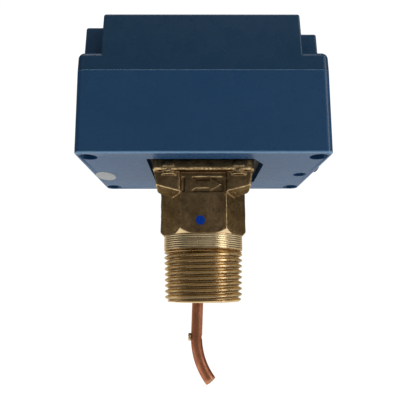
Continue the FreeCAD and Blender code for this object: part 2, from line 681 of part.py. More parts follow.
# ---------------------------------------------------------------- bellows
def bellows_ring():
    """Brass ring that carries the bellows in the top of the body."""
    return turned([
        (RING_INNER, FLOOR_TOP - RING_HEIGHT), (CAVITY_RADIUS - RING_GAP, FLOOR_TOP - RING_HEIGHT),
        (CAVITY_RADIUS - RING_GAP, FLOOR_TOP), (RING_INNER, FLOOR_TOP),
    ])


def bellows():
    """Thin folded metal tube between the ring and the end cup."""
    low = CUP_BOTTOM + CUP_HEIGHT + BELLOWS_GAP
    high = FLOOR_TOP - RING_HEIGHT
    step = (high - low) / (2 * BELLOWS_FOLDS)
    outside = []
    for index in range(2 * BELLOWS_FOLDS + 1):
        radius = BELLOWS_OUTER if index % 2 else BELLOWS_INNER + BELLOWS_WALL
        outside.append((radius, low + index * step))
    inside = [(radius - BELLOWS_WALL, z) for radius, z in reversed(outside)]
    return turned(outside + inside)


def bellows_end_cup():
    """Cup that closes the bellows' lower end and grips the rod; it leans with the arm."""
    cup = rod(CUP_RADIUS, CUP_BOTTOM, CUP_BOTTOM + CUP_HEIGHT)
    hub = rod(SOCKET_RADIUS, CUP_BOTTOM - SOCKET_LENGTH, CUP_BOTTOM + OVER)
    whole = fused([cup, hub])
    whole = whole.cut(rod(ARM_RADIUS, CUP_BOTTOM - SOCKET_LENGTH - OVER, CUP_BOTTOM))
    return leaned(whole.cut(rod(ROD_RADIUS, CUP_BOTTOM - OVER, CUP_BOTTOM + CUP_HEIGHT + OVER)))


# ---------------------------------------------------------------- moving arm
def paddle_arm():
    """Copper arm: straight rod whose tip is bent downstream, with a cross hole for the paddle screw."""
    centre = Vector(BEND_RADIUS, 0, STRAIGHT_END_Z)
    turn = math.radians(BEND_DEG)
    start = Vector(0, 0, STRAIGHT_END_Z)
    middle = centre + Vector(-math.cos(turn / 2), 0, -math.sin(turn / 2)) * BEND_RADIUS
    end = centre + Vector(-math.cos(turn), 0, -math.sin(turn)) * BEND_RADIUS
    path = Part.Wire([
        Part.LineSegment(Vector(0, 0, CUP_BOTTOM), start).toShape(),
        Part.Arc(start, middle, end).toShape(),
    ])
    section = Part.Wire(Part.makeCircle(ARM_RADIUS, Vector(0, 0, CUP_BOTTOM), Vector(0, 0, 1)))
    arm = path.makePipeShell([section], True, False)
    hole = rod_along("x", PADDLE_SCREW_RADIUS, -2 * ARM_RADIUS, 2 * ARM_RADIUS, 0, PADDLE_SCREW_Z)
    return leaned(arm.cut(hole))


def paddle_screw():
    """Small brass screw in the cross hole; its head is on the upstream side."""
    end = ARM_RADIUS - PADDLE_SCREW_SHORT
    shank = rod_along("x", PADDLE_SCREW_RADIUS, -ARM_RADIUS - ROOT, end, 0, PADDLE_SCREW_Z)
    head = rod_along("x", PADDLE_HEAD_RADIUS, -ARM_RADIUS - PADDLE_HEAD, -ARM_RADIUS, 0, PADDLE_SCREW_Z)
    slot = box(
        (-ARM_RADIUS - PADDLE_HEAD - OVER, -ARM_RADIUS - PADDLE_HEAD + PADDLE_SLOT_DEPTH),
        (-2 * PADDLE_HEAD_RADIUS, 2 * PADDLE_HEAD_RADIUS),
        (PADDLE_SCREW_Z - PADDLE_SLOT_WIDTH / 2, PADDLE_SCREW_Z + PADDLE_SLOT_WIDTH / 2),
    )
    return leaned(fused([shank, head]).cut(slot))


def lever_rod():
    """Stainless rod from the bellows cup up to the rocker's hub."""
    return leaned(rod(ROD_RADIUS, CUP_BOTTOM, PIVOT_Z - HUB_RADIUS + ROD_GRIP))


def rocker_lever():
    """Rocker on the pivot pin: the right arm meets the range spring, the left arm the switch."""
    hub = rod_along("y", HUB_RADIUS, -HUB_HALF, HUB_HALF, 0, PIVOT_Z)
    wide = (-LEVER_HALF, LEVER_HALF)
    right = box((0, LEVER_RIGHT), wide, (PIVOT_Z - LEVER_THICK / 2, LEVER_TOP))
    web = box((-LEVER_THICK, 0), wide, (PIVOT_Z, LEVER_ARM_Z + LEVER_THICK))
    left = box((LEVER_LEFT, 0), wide, (LEVER_ARM_Z, LEVER_ARM_Z + LEVER_THICK))
    seat_radius = SPRING_RADIUS - SPRING_WIRE - SPRING_SEAT_GAP
    seat = rod(seat_radius, LEVER_TOP - OVER, LEVER_TOP + SPRING_SEAT, SPRING_X)
    nose_z = LEVER_ARM_Z - NOSE_PROUD + NOSE_RADIUS
    nose = rod_along("y", NOSE_RADIUS, -LEVER_HALF, LEVER_HALF, PLUNGER_X, nose_z)
    lever = fused([hub, right, web, left, seat, nose]).cut(lever_rod())
    return lever.cut(rod_along("y", PIN_RADIUS + RUNNING, -HUB_HALF - OVER, HUB_HALF + OVER, 0, PIVOT_Z))


# ---------------------------------------------------------------- pivot bracket
def bracket_screw_places():
    """Screws of the pivot bracket."""
    return [(-BRACKET_SCREW_X, 0), (BRACKET_SCREW_X, 0)]


def pivot_bracket():
    """U-shaped steel bracket whose two ears carry the pivot pin."""
    outer = EAR_Y + SHEET
    base = box((-BRACKET_HALF_X, BRACKET_HALF_X), (-outer, outer), (PLATE_TOP, PLATE_TOP + SHEET))
    pieces = [base]
    for side in (-1, 1):
        y = sorted((side * EAR_Y, side * outer))
        upright = box((-BRACKET_EAR_HALF, BRACKET_EAR_HALF), y, (PLATE_TOP, PIVOT_Z))
        pieces.append(upright)
        pieces.append(rod_along("y", BRACKET_EAR_HALF, y[0], y[1], 0, PIVOT_Z))
    bracket = fused(pieces)
    bracket = bracket.cut(rod(BRACKET_HOLE_RADIUS, PLATE_TOP - OVER, PLATE_TOP + SHEET + OVER))
    bracket = bracket.cut(rod_along("y", PIN_RADIUS, -outer - OVER, outer + OVER, 0, PIVOT_Z))
    for x, y in bracket_screw_places():
        bracket = bracket.cut(rod(M3_RADIUS + SCREW_GAP, PLATE_TOP - OVER, PLATE_TOP + SHEET + OVER, x, y))
    return bracket


def pivot_pin():
    """Steel pin across the bracket's ears."""
    return rod_along("y", PIN_RADIUS, -PIN_LENGTH / 2, PIN_LENGTH / 2, 0, PIVOT_Z)


def pivot_clips():
    """Two retaining clips, one beyond each ear."""
    clips = []
    for side in (-1, 1):
        near = side * (EAR_Y + SHEET)
        low, high = sorted((near, near + side * CLIP_THICK))
        clip = rod_along("y", PIN_RADIUS + CLIP_WIDTH, low, high, 0, PIVOT_Z)
        clip = clip.cut(rod_along("y", PIN_RADIUS, low - OVER, high + OVER, 0, PIVOT_Z))
        mouth = box(
            (-CLIP_MOUTH / 2, CLIP_MOUTH / 2),
            (low - OVER, high + OVER),
            (PIVOT_Z - PIN_RADIUS - 2 * CLIP_WIDTH, PIVOT_Z - PIN_RADIUS + CLIP_LIP),
        )
        clips.append(clip.cut(mouth))
    return Part.makeCompound(clips)


def bracket_screws():
    """Two screws through the pivot bracket into the plate."""
    seat = PLATE_TOP + SHEET
    return Part.makeCompound([
        screw(M3_RADIUS, M3_HEAD_RADIUS, M3_HEAD, seat, SHEET + PLATE_THICK, x, y)
        for x, y in bracket_screw_places()
    ])


# ---------------------------------------------------------------- snap switch
def switch_screw_places():
    """Cross screws of the snap switch, along X."""
    return [SWITCH_LEFT + SWITCH_SCREW_INSET, SWITCH_RIGHT - SWITCH_SCREW_INSET]


def switch_foot_places():
    """Screws of the switch bracket's foot."""
    x = PLATE_LEFT + SWITCH_FOOT_SCREW_X
    y = SWITCH_HALF + SHEET + SWITCH_FOOT_SCREW_Y
    return [(x, y), (x + SWITCH_FOOT_SPACING, y)]


def switch_case():
    """Moulded case of the snap switch."""
    case = box((SWITCH_LEFT, SWITCH_RIGHT), (-SWITCH_HALF, SWITCH_HALF), (SWITCH_BOTTOM, SWITCH_TOP))
    case = case.makeFillet(SWITCH_ROUND, [e for e in case.Edges if e.BoundBox.ZLength > SWITCH_HEIGHT - OVER])
    low = SWITCH_TOP - PLUNGER_SUNK - PLUNGER_ROOM
    case = case.cut(rod(PLUNGER_RADIUS + RUNNING, low, SWITCH_TOP + OVER, PLUNGER_X))
    for x in switch_screw_places():
        side = SWITCH_HALF + OVER
        case = case.cut(rod_along("y", M3_RADIUS + SCREW_GAP, -side, side, x, SWITCH_SCREW_Z))
    for index in range(3):
        place = TERMINAL_X + index * TERMINAL_PITCH
        case = case.cut(rod(M3_RADIUS, SWITCH_TOP - TERMINAL_REACH - DRILL_POINT, SWITCH_TOP + OVER, place))
    return case


def switch_plunger():
    """Push button of the snap switch."""
    button = rod(PLUNGER_RADIUS, SWITCH_TOP - PLUNGER_SUNK, PLUNGER_TOP, PLUNGER_X)
    return button.makeFillet(PLUNGER_FILLET, edges_at(button, PLUNGER_TOP))


def switch_bracket():
    """Angle bracket: the switch is screwed to its upright, the foot to the plate."""
    near = SWITCH_HALF
    far = SWITCH_HALF + SHEET
    upright = box(
        (SWITCH_LEFT + UPRIGHT_INSET, SWITCH_RIGHT - UPRIGHT_INSET),
        (near, far),
        (PLATE_TOP, SWITCH_TOP - UPRIGHT_DROP),
    )
    foot = box(
        (PLATE_LEFT, PLATE_LEFT + SWITCH_FOOT_LENGTH),
        (near, far + SWITCH_FOOT_WIDTH),
        (PLATE_TOP, PLATE_TOP + SHEET),
    )
    bracket = fused([upright, foot])
    for x in switch_screw_places():
        hole = rod_along("y", M3_RADIUS + SCREW_GAP, near - OVER, far + OVER, x, SWITCH_SCREW_Z)
        bracket = bracket.cut(hole)
    for x, y in switch_foot_places():
        bracket = bracket.cut(rod(M3_RADIUS + SCREW_GAP, PLATE_TOP - OVER, PLATE_TOP + SHEET + OVER, x, y))
    return bracket


def switch_screws():
    """Two cross screws through the switch case and its bracket."""
    screws = []
    for x in switch_screw_places():
        end = SWITCH_HALF + SHEET + SWITCH_SCREW_REACH
        shank = rod_along("y", M3_RADIUS, -SWITCH_HALF - OVER, end, x, SWITCH_SCREW_Z)
        head = rod_along("y", M3_HEAD_RADIUS, -SWITCH_HALF - M3_HEAD, -SWITCH_HALF, x, SWITCH_SCREW_Z)
        slot = box(
            (x - M3_HEAD_RADIUS - OVER, x + M3_HEAD_RADIUS + OVER),
            (-SWITCH_HALF - M3_HEAD - OVER, -SWITCH_HALF - M3_HEAD + SLOT_DEPTH),
            (SWITCH_SCREW_Z - SLOT_WIDTH / 2, SWITCH_SCREW_Z + SLOT_WIDTH / 2),
        )
        screws.append(fused([shank, head.cut(slot)]))
    return Part.makeCompound(screws)


def switch_nuts():
    """Hexagon nuts on the cross screws."""
    nuts = []
    low = SWITCH_HALF + SHEET
    for x in switch_screw_places():
        corners = []
        for step in range(7):
            angle = math.radians(60 * step)
            corners.append(Vector(
                x + M3_NUT_RADIUS * math.cos(angle), low, SWITCH_SCREW_Z + M3_NUT_RADIUS * math.sin(angle)
            ))
        nut = Part.Face(Part.makePolygon(corners)).extrude(Vector(0, M3_NUT, 0))
        hole = rod_along("y", M3_RADIUS + SCREW_GAP, low - OVER, low + M3_NUT + OVER, x, SWITCH_SCREW_Z)
        nuts.append(nut.cut(hole))
    return Part.makeCompound(nuts)


def switch_foot_screws():
    """Screws through the switch bracket's foot."""
    seat = PLATE_TOP + SHEET
    return Part.makeCompound([
        screw(M3_RADIUS, M3_HEAD_RADIUS, M3_HEAD, seat, SHEET + PLATE_THICK, x, y)
        for x, y in switch_foot_places()
    ])


def terminal_screw(index):
    """One terminal screw on top of the switch case."""
    place = TERMINAL_X + index * TERMINAL_PITCH
    return screw(M3_RADIUS, TERMINAL_RADIUS, TERMINAL_HEAD, SWITCH_TOP, TERMINAL_REACH, place, 0)


# ---------------------------------------------------------------- range adjuster
def range_foot_places():
    """Screws of the range bracket's foot."""
    x = RANGE_WALL_X + SHEET + RANGE_FOOT_SCREW_X
    return [(x, -RANGE_FOOT_SCREW_Y), (x, RANGE_FOOT_SCREW_Y)]


def range_bracket():
    """Tall steel bracket: foot on the plate, upright, and a top lug that holds the range screw."""
    wide = (-RANGE_HALF_Y, RANGE_HALF_Y)
    far = RANGE_WALL_X + SHEET
    upright = box((RANGE_WALL_X, far), wide, (PLATE_TOP, RANGE_TOP + SHEET))
    foot = box(
        (RANGE_WALL_X, far + RANGE_FOOT_LENGTH),
        (-RANGE_FOOT_HALF, RANGE_FOOT_HALF),
        (PLATE_TOP, PLATE_TOP + SHEET),
    )
    lug = box((SPRING_X - RANGE_LUG_REACH, far), wide, (RANGE_TOP, RANGE_TOP + SHEET))
    bracket = fused([upright, foot, lug])
    hole = rod(RANGE_SCREW_RADIUS + RUNNING, RANGE_TOP - OVER, RANGE_TOP + SHEET + OVER, SPRING_X)
    bracket = bracket.cut(hole)
    for x, y in range_foot_places():
        bracket = bracket.cut(rod(M3_RADIUS + SCREW_GAP, PLATE_TOP - OVER, PLATE_TOP + SHEET + OVER, x, y))
    return bracket


def range_foot_screws():
    """Screws through the range bracket's foot."""
    seat = PLATE_TOP + SHEET
    return Part.makeCompound([
        screw(M3_RADIUS, M3_HEAD_RADIUS, M3_HEAD, seat, SHEET + PLATE_THICK, x, y)
        for x, y in range_foot_places()
    ])


def range_screw():
    """Adjusting screw: it turns in the lug and drives the nut along the spring."""
    seat = RANGE_TOP + SHEET
    return screw(
        RANGE_SCREW_RADIUS, RANGE_HEAD_RADIUS, RANGE_HEAD, seat, seat - RANGE_SCREW_BOTTOM, SPRING_X, 0
    )


def range_screw_clip():
    """Retaining ring under the lug that keeps the range screw from rising."""
    ring = rod(RANGE_CLIP_RADIUS, RANGE_TOP - RANGE_CLIP, RANGE_TOP, SPRING_X)
    return ring.cut(rod(RANGE_SCREW_RADIUS, RANGE_TOP - RANGE_CLIP - OVER, RANGE_TOP + OVER, SPRING_X))


def range_nut():
    """Square nut with a tongue along the upright, so that it can't turn."""
    half = RANGE_NUT_HALF
    nut = box(
        (SPRING_X - half, RANGE_WALL_X - RANGE_NUT_GAP),
        (-half, half),
        (RANGE_NUT_BOTTOM, RANGE_NUT_BOTTOM + RANGE_NUT),
    )
    high = RANGE_NUT_BOTTOM + RANGE_NUT + OVER
    return nut.cut(rod(RANGE_SCREW_RADIUS + RUNNING, RANGE_NUT_BOTTOM - OVER, high, SPRING_X))


def range_spring():
    """Helical compression spring between the nut and the rocker's right arm."""
    low = LEVER_TOP + SPRING_WIRE + SPRING_GAP
    height = RANGE_NUT_BOTTOM - SPRING_WIRE - SPRING_GAP - low
    helix = Part.makeHelix(SPRING_PITCH, height, SPRING_RADIUS)
    section = Part.Wire(Part.makeCircle(SPRING_WIRE, Vector(SPRING_RADIUS, 0, 0), Vector(0, 1, 0)))
    coil = Part.Wire(helix).makePipeShell([section], True, True)
    coil.translate(Vector(SPRING_X, 0, low))
    return coil


def ground_screw():
    """Green earth terminal screw on the plate."""
    return screw(M3_RADIUS, M4_HEAD_RADIUS, M3_HEAD, PLATE_TOP, PLATE_THICK, GROUND_X, GROUND_Y)


# ---------------------------------------------------------------- all nodes
NODES = {
    "housing_base": housing_base,
    "housing_cover": housing_cover,
    "cover_gasket": lambda: gasket_ring(PARTING - GASKET_DEPTH, PARTING, GASKET_GAP),
    "cover_screws": cover_screws,
    "conduit_plug": conduit_plug,
    "conduit_washer": conduit_washer,
    "conduit_locknut": conduit_locknut,
    "brass_body": brass_body,
    "body_gasket": lambda: sheet_plate(FLOOR_TOP, PLATE_BOTTOM, CAVITY_RADIUS),
    "mounting_plate": mounting_plate,
    "flange_screws": flange_screws,
    "plate_screws": plate_screws,
    "bellows_ring": bellows_ring,
    "bellows": bellows,
    "bellows_end_cup": bellows_end_cup,
    "paddle_arm": paddle_arm,
    "paddle_screw": paddle_screw,
    "lever_rod": lever_rod,
    "rocker_lever": rocker_lever,
    "pivot_bracket": pivot_bracket,
    "bracket_screws": bracket_screws,
    "pivot_pin": pivot_pin,
    "pivot_clips": pivot_clips,
    "switch_case": switch_case,
    "switch_plunger": switch_plunger,
    "switch_bracket": switch_bracket,
    "switch_screws": switch_screws,
    "switch_nuts": switch_nuts,
    "switch_foot_screws": switch_foot_screws,
    "terminal_common": lambda: terminal_screw(0),
    "terminal_normally_closed": lambda: terminal_screw(1),
    "terminal_normally_open": lambda: terminal_screw(2),
    "range_bracket": range_bracket,
    "range_foot_screws": range_foot_screws,
    "range_screw": range_screw,
    "range_screw_clip": range_screw_clip,
    "range_nut": range_nut,
    "range_spring": range_spring,
    "ground_screw": ground_screw,
}

for node_name, make in NODES.items():
    save(node_name, make())
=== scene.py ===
"""The looks of the paddle flow switch: camera, stage, materials and the finely shaped pieces.

Everything is in metres in the part's own frame: +X downstream, +Z up, origin at the upper end of
the pipe thread. Pieces that only need a better surface are smoothed copies of their CAD nodes.
"""
import json
import math

import bmesh
import bpy
from mathutils import Matrix, Vector, noise


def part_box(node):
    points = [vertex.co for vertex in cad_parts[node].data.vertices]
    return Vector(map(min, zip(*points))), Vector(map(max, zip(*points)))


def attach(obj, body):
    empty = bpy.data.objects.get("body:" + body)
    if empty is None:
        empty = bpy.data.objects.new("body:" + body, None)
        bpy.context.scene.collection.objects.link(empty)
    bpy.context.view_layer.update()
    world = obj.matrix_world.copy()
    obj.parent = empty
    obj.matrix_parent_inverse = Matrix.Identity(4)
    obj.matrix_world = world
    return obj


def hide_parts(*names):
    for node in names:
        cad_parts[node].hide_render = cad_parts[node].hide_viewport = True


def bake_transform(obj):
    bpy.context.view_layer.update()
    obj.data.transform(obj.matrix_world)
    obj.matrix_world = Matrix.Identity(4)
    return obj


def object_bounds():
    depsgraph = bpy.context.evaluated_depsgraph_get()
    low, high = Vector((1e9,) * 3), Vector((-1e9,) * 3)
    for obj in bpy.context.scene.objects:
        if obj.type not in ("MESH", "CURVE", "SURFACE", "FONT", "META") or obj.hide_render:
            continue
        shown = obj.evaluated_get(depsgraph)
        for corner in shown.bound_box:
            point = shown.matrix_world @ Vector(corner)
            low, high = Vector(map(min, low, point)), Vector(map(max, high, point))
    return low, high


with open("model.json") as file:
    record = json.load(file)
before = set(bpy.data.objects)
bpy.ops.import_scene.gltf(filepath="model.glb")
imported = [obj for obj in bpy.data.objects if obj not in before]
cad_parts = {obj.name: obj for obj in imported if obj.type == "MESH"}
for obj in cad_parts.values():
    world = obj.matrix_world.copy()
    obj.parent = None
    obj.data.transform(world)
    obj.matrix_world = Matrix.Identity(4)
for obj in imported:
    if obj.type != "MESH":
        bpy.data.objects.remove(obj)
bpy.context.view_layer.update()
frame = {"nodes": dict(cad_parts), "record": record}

MM = 0.001
WELD = 1e-6                        # points closer than this are one point

# ---------------------------------------------------------------- sizes shared with the solids
HEX_ACROSS_FLATS = 32.0 * MM
FRONT_FLAT_Y = -HEX_ACROSS_FLATS / 2
HEX_CORNER = HEX_ACROSS_FLATS / math.sqrt(3)
BEVEL_HEIGHT = 2.1 * MM            # turned bevel above the collar
COLLAR_RADIUS = 16.72 * MM
COLLAR_TOP = 6.6 * MM
COLLAR_BOTTOM = 0.8 * MM
BORE_RADIUS = 10.0 * MM
THREAD_CREST = 16.62 * MM
THREAD_END = -20.2 * MM
THREAD_PITCH = 25.4 * MM / 11
THREAD_DEPTH = 1.38 * MM
THREAD_TAPER = 1 / 32              # radius lost per length, one in sixteen on the diameter
FLANGE_BOTTOM = 31.2 * MM
FLANGE_CORNER = 4.0 * MM
BASE_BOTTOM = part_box("housing_base")[0].z
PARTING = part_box("housing_base")[1].z
BASE_CORNER = 3.0 * MM
BOTTOM_ROUND = 0.8 * MM

# ---------------------------------------------------------------- sizes of what only the looks have
NIPPLE_COLUMNS = 180               # faces round the nipple
THREAD_TOP = -0.12 * MM
THREAD_RUN_IN = 0.9 * MM           # full depth is reached over this length
THREAD_ROOT = 0.12                 # flat root and sloped flank, as shares of half a pitch
THREAD_FLANK = 0.66
THREAD_SOFTNESS = 0.35             # 0 for straight flanks, 1 for wavy ones
THREAD_CHAMFER = 1.75 * MM         # cone at the thread's lower end: its step and its slope
THREAD_CHAMFER_SLOPE = 1.1
THREAD_PHASES = (                  # rows of the skin in one pitch, closer where the form bends
    0.0, 0.07, 0.12, 0.19, 0.26, 0.33, 0.4, 0.45, 0.5, 0.55, 0.6, 0.67, 0.74, 0.81, 0.88, 0.93,
)
BORE_EDGE = 0.7 * MM               # chamfer inside the nipple's lower end
COLLAR_LIP = 0.05 * MM             # the nipple's skin starts this far above the collar's top
COLLAR_EDGE = 0.15 * MM
COLLAR_FIRST_ROW = 0.1 * MM
COLLAR_ROW = 0.07 * MM
COLLAR_RING_PITCH = 0.86 * MM
COLLAR_RING_DEPTH = 0.15 * MM
COLLAR_RING_SHAPE = 0.4            # below 1 the rings are wide and their grooves narrow
COLLAR_FOOT = (                    # runout groove under the collar: way down and way in
    (0.0, 0.05 * MM), (0.75 * MM, 1.1 * MM), (0.9 * MM, 1.25 * MM),
)
CAST_OVERLAP = 0.02 * MM           # the casting's skin starts this far above the collar's top
CAST_VOXEL = 0.24 * MM
CAST_SMOOTHING = 7                 # rounds of smoothing that round the casting's edges
CAST_DENTS = 0.13 * MM             # heights of the cast surface's dents and grain
CAST_GRAIN = 0.06 * MM
CAST_DENT_CELLS = 260              # cells per metre
CAST_GRAIN_CELLS = 1150
TRUE_TOP = 1.5 * MM                # machined top, bore and foot of the casting stay smooth
TRUE_RADIUS = 13.0 * MM
TRUE_FOOT = 1.0 * MM
BEVEL_OVERHANG = 0.1 * MM
BEVEL_TOLERANCE = 0.2 * MM
BEVEL_LEAN = -0.25                 # a bevel face's normal points down at least this much
FLANGE_ROUND = 1.3 * MM
FLANGE_SLACK = 0.3 * MM            # remeshed points may lie this far below the flange
FLANGE_MARK_X = 13.9 * MM          # raised round marks on the flange's front face
FLANGE_MARK_Z = 32.8 * MM
FLANGE_MARK_RADIUS = 2.1 * MM
FLANGE_MARK_DEPTH = 3 * MM
FLANGE_MARK_RAISE = 0.45 * MM
PARTING_CHAMFER = 0.3 * MM
NEAR_LEVEL = 0.01 * MM             # how near a point must lie to the parting level,
NEAR_WALL = 0.1 * MM               # to the base's outer walls and to its rounded corners
NEAR_CORNER = 0.05 * MM
RIM_ANGLE = 1.0                    # the base's rim bends at least this much, in radians
PAINTED_HIGHLIGHT_SIDE = 3.2 * MM             # painted highlight faces lie this near the base's sides, front and rear
PAINTED_HIGHLIGHT_FRONT = 1.5 * MM
PAINTED_HIGHLIGHT_LEAN = (0.15, 0.985)        # and are neither upright (0) nor level (1)
DOT_X = -1.3 * MM
DOT_Z = 11.7 * MM
DOT_RADIUS = 1.85 * MM
DOT_THICK = 0.10 * MM
DOT_GAP = 0.02 * MM                # the dot stands this far off the flat
DOT_WOBBLE = 0.09                  # how far the brushed edge wanders, as a share of the radius
WOBBLE_CELLS = 1.3                 # size and place of the noise the edge follows
WOBBLE_PLACE = 3.7
STICKER_X = -43.9 * MM
STICKER_Y = 3.8 * MM
STICKER_RADIUS = 4.3 * MM
STICKER_STRETCH = 1.7
STICKER_THICK = 0.12 * MM
DISC_COLUMNS = 48
DISC_RINGS = ((0.55, 1.0), (0.85, 0.85), (1.0, 0.35), (1.0, -0.3))   # shares of radius and thickness
SOFT_ANGLE = 32                    # edges sharper than this stay sharp, in degrees
HOUSING_ANGLE = 16
NIPPLE_ANGLE = 40
DISC_ANGLE = 60

# ---------------------------------------------------------------- camera and stage
CAMERA_PLACE = Vector((-2.15, -176.37, -11.99)) * MM
CAMERA_PITCH = math.radians(11.21)
CAMERA_YAW = math.radians(0.27)
CAMERA_ROLL = math.radians(-0.14)
CAMERA_LENS = 36.85
CAMERA_SENSOR = 36.0
WHITE = 1.05                       # world and floor, as the camera sees them
BRIGHT_SIDE = (0, 0.75, -0.66)     # the room is brightest behind and below
ROOM_LEVELS = (                    # from the dim side to the bright one
    (0.0, 0.06), (0.035, 0.09), (0.06, 0.2), (0.13, 0.22), (0.17, 0.09), (0.23, 0.045), (0.5, 0.06),
    (0.7, 0.12), (0.82, 0.6), (0.95, 1.0),
)
ROOM_STRENGTH = 1.35
FLOOR_REACH = 3.0
FLOOR_DROP = 40 * MM               # floor below the arm's tip
FLOOR_NEAR = -200 * MM             # how bright the floor looks to the object, from near to far
FLOOR_FAR = 400 * MM
FLOOR_LEVELS = ((0.08, 0.14), (0.27, 1.25), (0.5, 1.2), (0.85, 0.62), (1.0, 0.56))
LIGHT_AIM = Vector((0, 0, 30 * MM))
SOFTBOXES = (                      # name, azimuth, elevation, distance, width and height, watts
    ("key_softbox", 58, 14, 0.7, (0.24, 0.7), 1.75),
    ("rim_softbox", -152, 8, 0.8, (0.3, 0.7), 0.3),
    ("top_softbox", -16, 66, 0.9, (0.9, 0.5), 2.9),
)


def add_camera():
    """Camera a little below the thread's end, looking up at the housing's underside."""
    data = bpy.data.cameras.new("view")
    data.sensor_width = CAMERA_SENSOR
    data.lens = CAMERA_LENS
    data.clip_start = 0.01
    camera = bpy.data.objects.new("view", data)
    turn = Matrix.Rotation(-CAMERA_YAW, 4, "Z")
    turn = turn @ Matrix.Rotation(math.pi / 2 + CAMERA_PITCH, 4, "X")
    turn = turn @ Matrix.Rotation(CAMERA_ROLL, 4, "Z")
    camera.matrix_world = Matrix.Translation(CAMERA_PLACE) @ turn
    bpy.context.collection.objects.link(camera)
    bpy.context.scene.camera = camera


def add_world():
    """Plain white to the eye; what the object mirrors is bright behind and below, dim in front."""
    world = bpy.data.worlds.new("room")
    tree = fresh_tree(world)
    lean = add_node(tree, "VectorMath")
    lean.operation = "DOT_PRODUCT"
    feed(tree, lean.inputs[0], add_node(tree, "TexCoord").outputs["Generated"])
    feed(tree, lean.inputs[1], BRIGHT_SIDE)
    share = add_node(tree, "MapRange", Value=lean.outputs["Value"], From_Min=-1.0)
    levels = add_node(tree, "ValToRGB", Fac=share.outputs[0])
    set_stops(levels, ROOM_LEVELS)
    room = add_node(tree, "Background", Color=levels.outputs["Color"], Strength=ROOM_STRENGTH)
    white = add_node(tree, "Background", Color=(1, 1, 1), Strength=WHITE)
    choose = add_node(tree, "MixShader", Fac=add_node(tree, "LightPath").outputs["Is Camera Ray"])
    feed(tree, choose.inputs[1], room.outputs[0])
    feed(tree, choose.inputs[2], white.outputs[0])
    add_node(tree, "OutputWorld", Surface=choose.outputs[0])
    bpy.context.scene.world = world


def add_floor():
    """Plain pale floor; what the object mirrors of it is bright below and behind, dim in front."""
    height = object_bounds()[0][2] - FLOOR_DROP
    corners = [(x * FLOOR_REACH, y * FLOOR_REACH, height) for x, y in ((-1, -1), (1, -1), (1, 1), (-1, 1))]
    mesh = bpy.data.meshes.new("floor")
    mesh.from_pydata(corners, [], [(0, 1, 2, 3)])
    material = bpy.data.materials.new("pale_floor")
    tree = fresh_tree(material)
    place = add_node(tree, "SeparateXYZ", Vector=add_node(tree, "TexCoord").outputs["Object"])
    depth = add_node(tree, "MapRange", Value=place.outputs["Y"], From_Min=FLOOR_NEAR, From_Max=FLOOR_FAR)
    levels = add_node(tree, "ValToRGB", Fac=depth.outputs[0])
    peak = max(level for position, level in FLOOR_LEVELS)
    set_stops(levels, [(position, level / peak) for position, level in FLOOR_LEVELS])
    bright = add_node(tree, "Math")
    bright.operation = "MULTIPLY"
    feed(tree, bright.inputs[0], levels.outputs["Color"])
    feed(tree, bright.inputs[1], peak)
    choose = add_node(tree, "Mix")
    feed(tree, choose.inputs[0], add_node(tree, "LightPath").outputs["Is Camera Ray"])
    feed(tree, choose.inputs[2], bright.outputs[0])
    feed(tree, choose.inputs[3], WHITE)
    shine = add_node(tree, "Emission", Strength=choose.outputs[0])
    add_node(tree, "OutputMaterial", Surface=shine.outputs[0])
    mesh.materials.append(material)
    new_object("floor", mesh)


def fresh_tree(owner):
    """The emptied node tree of a world or a material."""
    owner.use_nodes = True
    owner.node_tree.nodes.clear()
    return owner.node_tree


def add_node(tree, kind, **inputs):
    """A shader node with its named inputs set or linked."""
    made = tree.nodes.new("ShaderNode" + kind)
    for name, value in inputs.items():
        feed(tree, made.inputs[name.replace("_", " ")], value)
    return made


def feed(tree, socket, value):
    """Links another node's output to the socket, or sets a constant on it."""
    if isinstance(value, bpy.types.NodeSocket):
        tree.links.new(value, socket)
    elif socket.type == "RGBA":
        socket.default_value = (*value, 1)
    else:
        socket.default_value = value


def set_stops(ramp, stops):
    """Colours or grey levels of a colour ramp node; stops are (position, colour or grey)."""
    elements = ramp.color_ramp.elements
    while len(elements) < len(stops):
        elements.new(0.5)
    for element, (position, level) in zip(elements, stops):
        element.position = position
        element.color = (level, level, level, 1) if isinstance(level, (int, float)) else (*level, 1)


def add_softbox(name, azimuth, elevation, distance, size, power):
    """A rectangular area light aimed at the middle of the object."""
    data = bpy.data.lights.new(name, "AREA")
    data.shape = "RECTANGLE"
    data.size, data.size_y = size
    data.energy = power
    light = bpy.data.objects.new(name, data)
    level = math.cos(math.radians(elevation))
    away = Vector((
        math.sin(math.radians(azimuth)) * level,
        -math.cos(math.radians(azimuth)) * level,
        math.sin(math.radians(elevation)),
    ))
    light.location = LIGHT_AIM + away * distance
    light.rotation_euler = away.to_track_quat("Z", "Y").to_euler()
    light.visible_camera = False
    bpy.context.collection.objects.link(light)


def add_stage():
    """World, floor and soft lights; the key light comes from the right, so the left stays darker."""
    view = bpy.context.scene.view_settings
    view.view_transform = "Standard"
    view.look = "None"
    add_world()
    add_floor()
    for softbox in SOFTBOXES:
        add_softbox(*softbox)


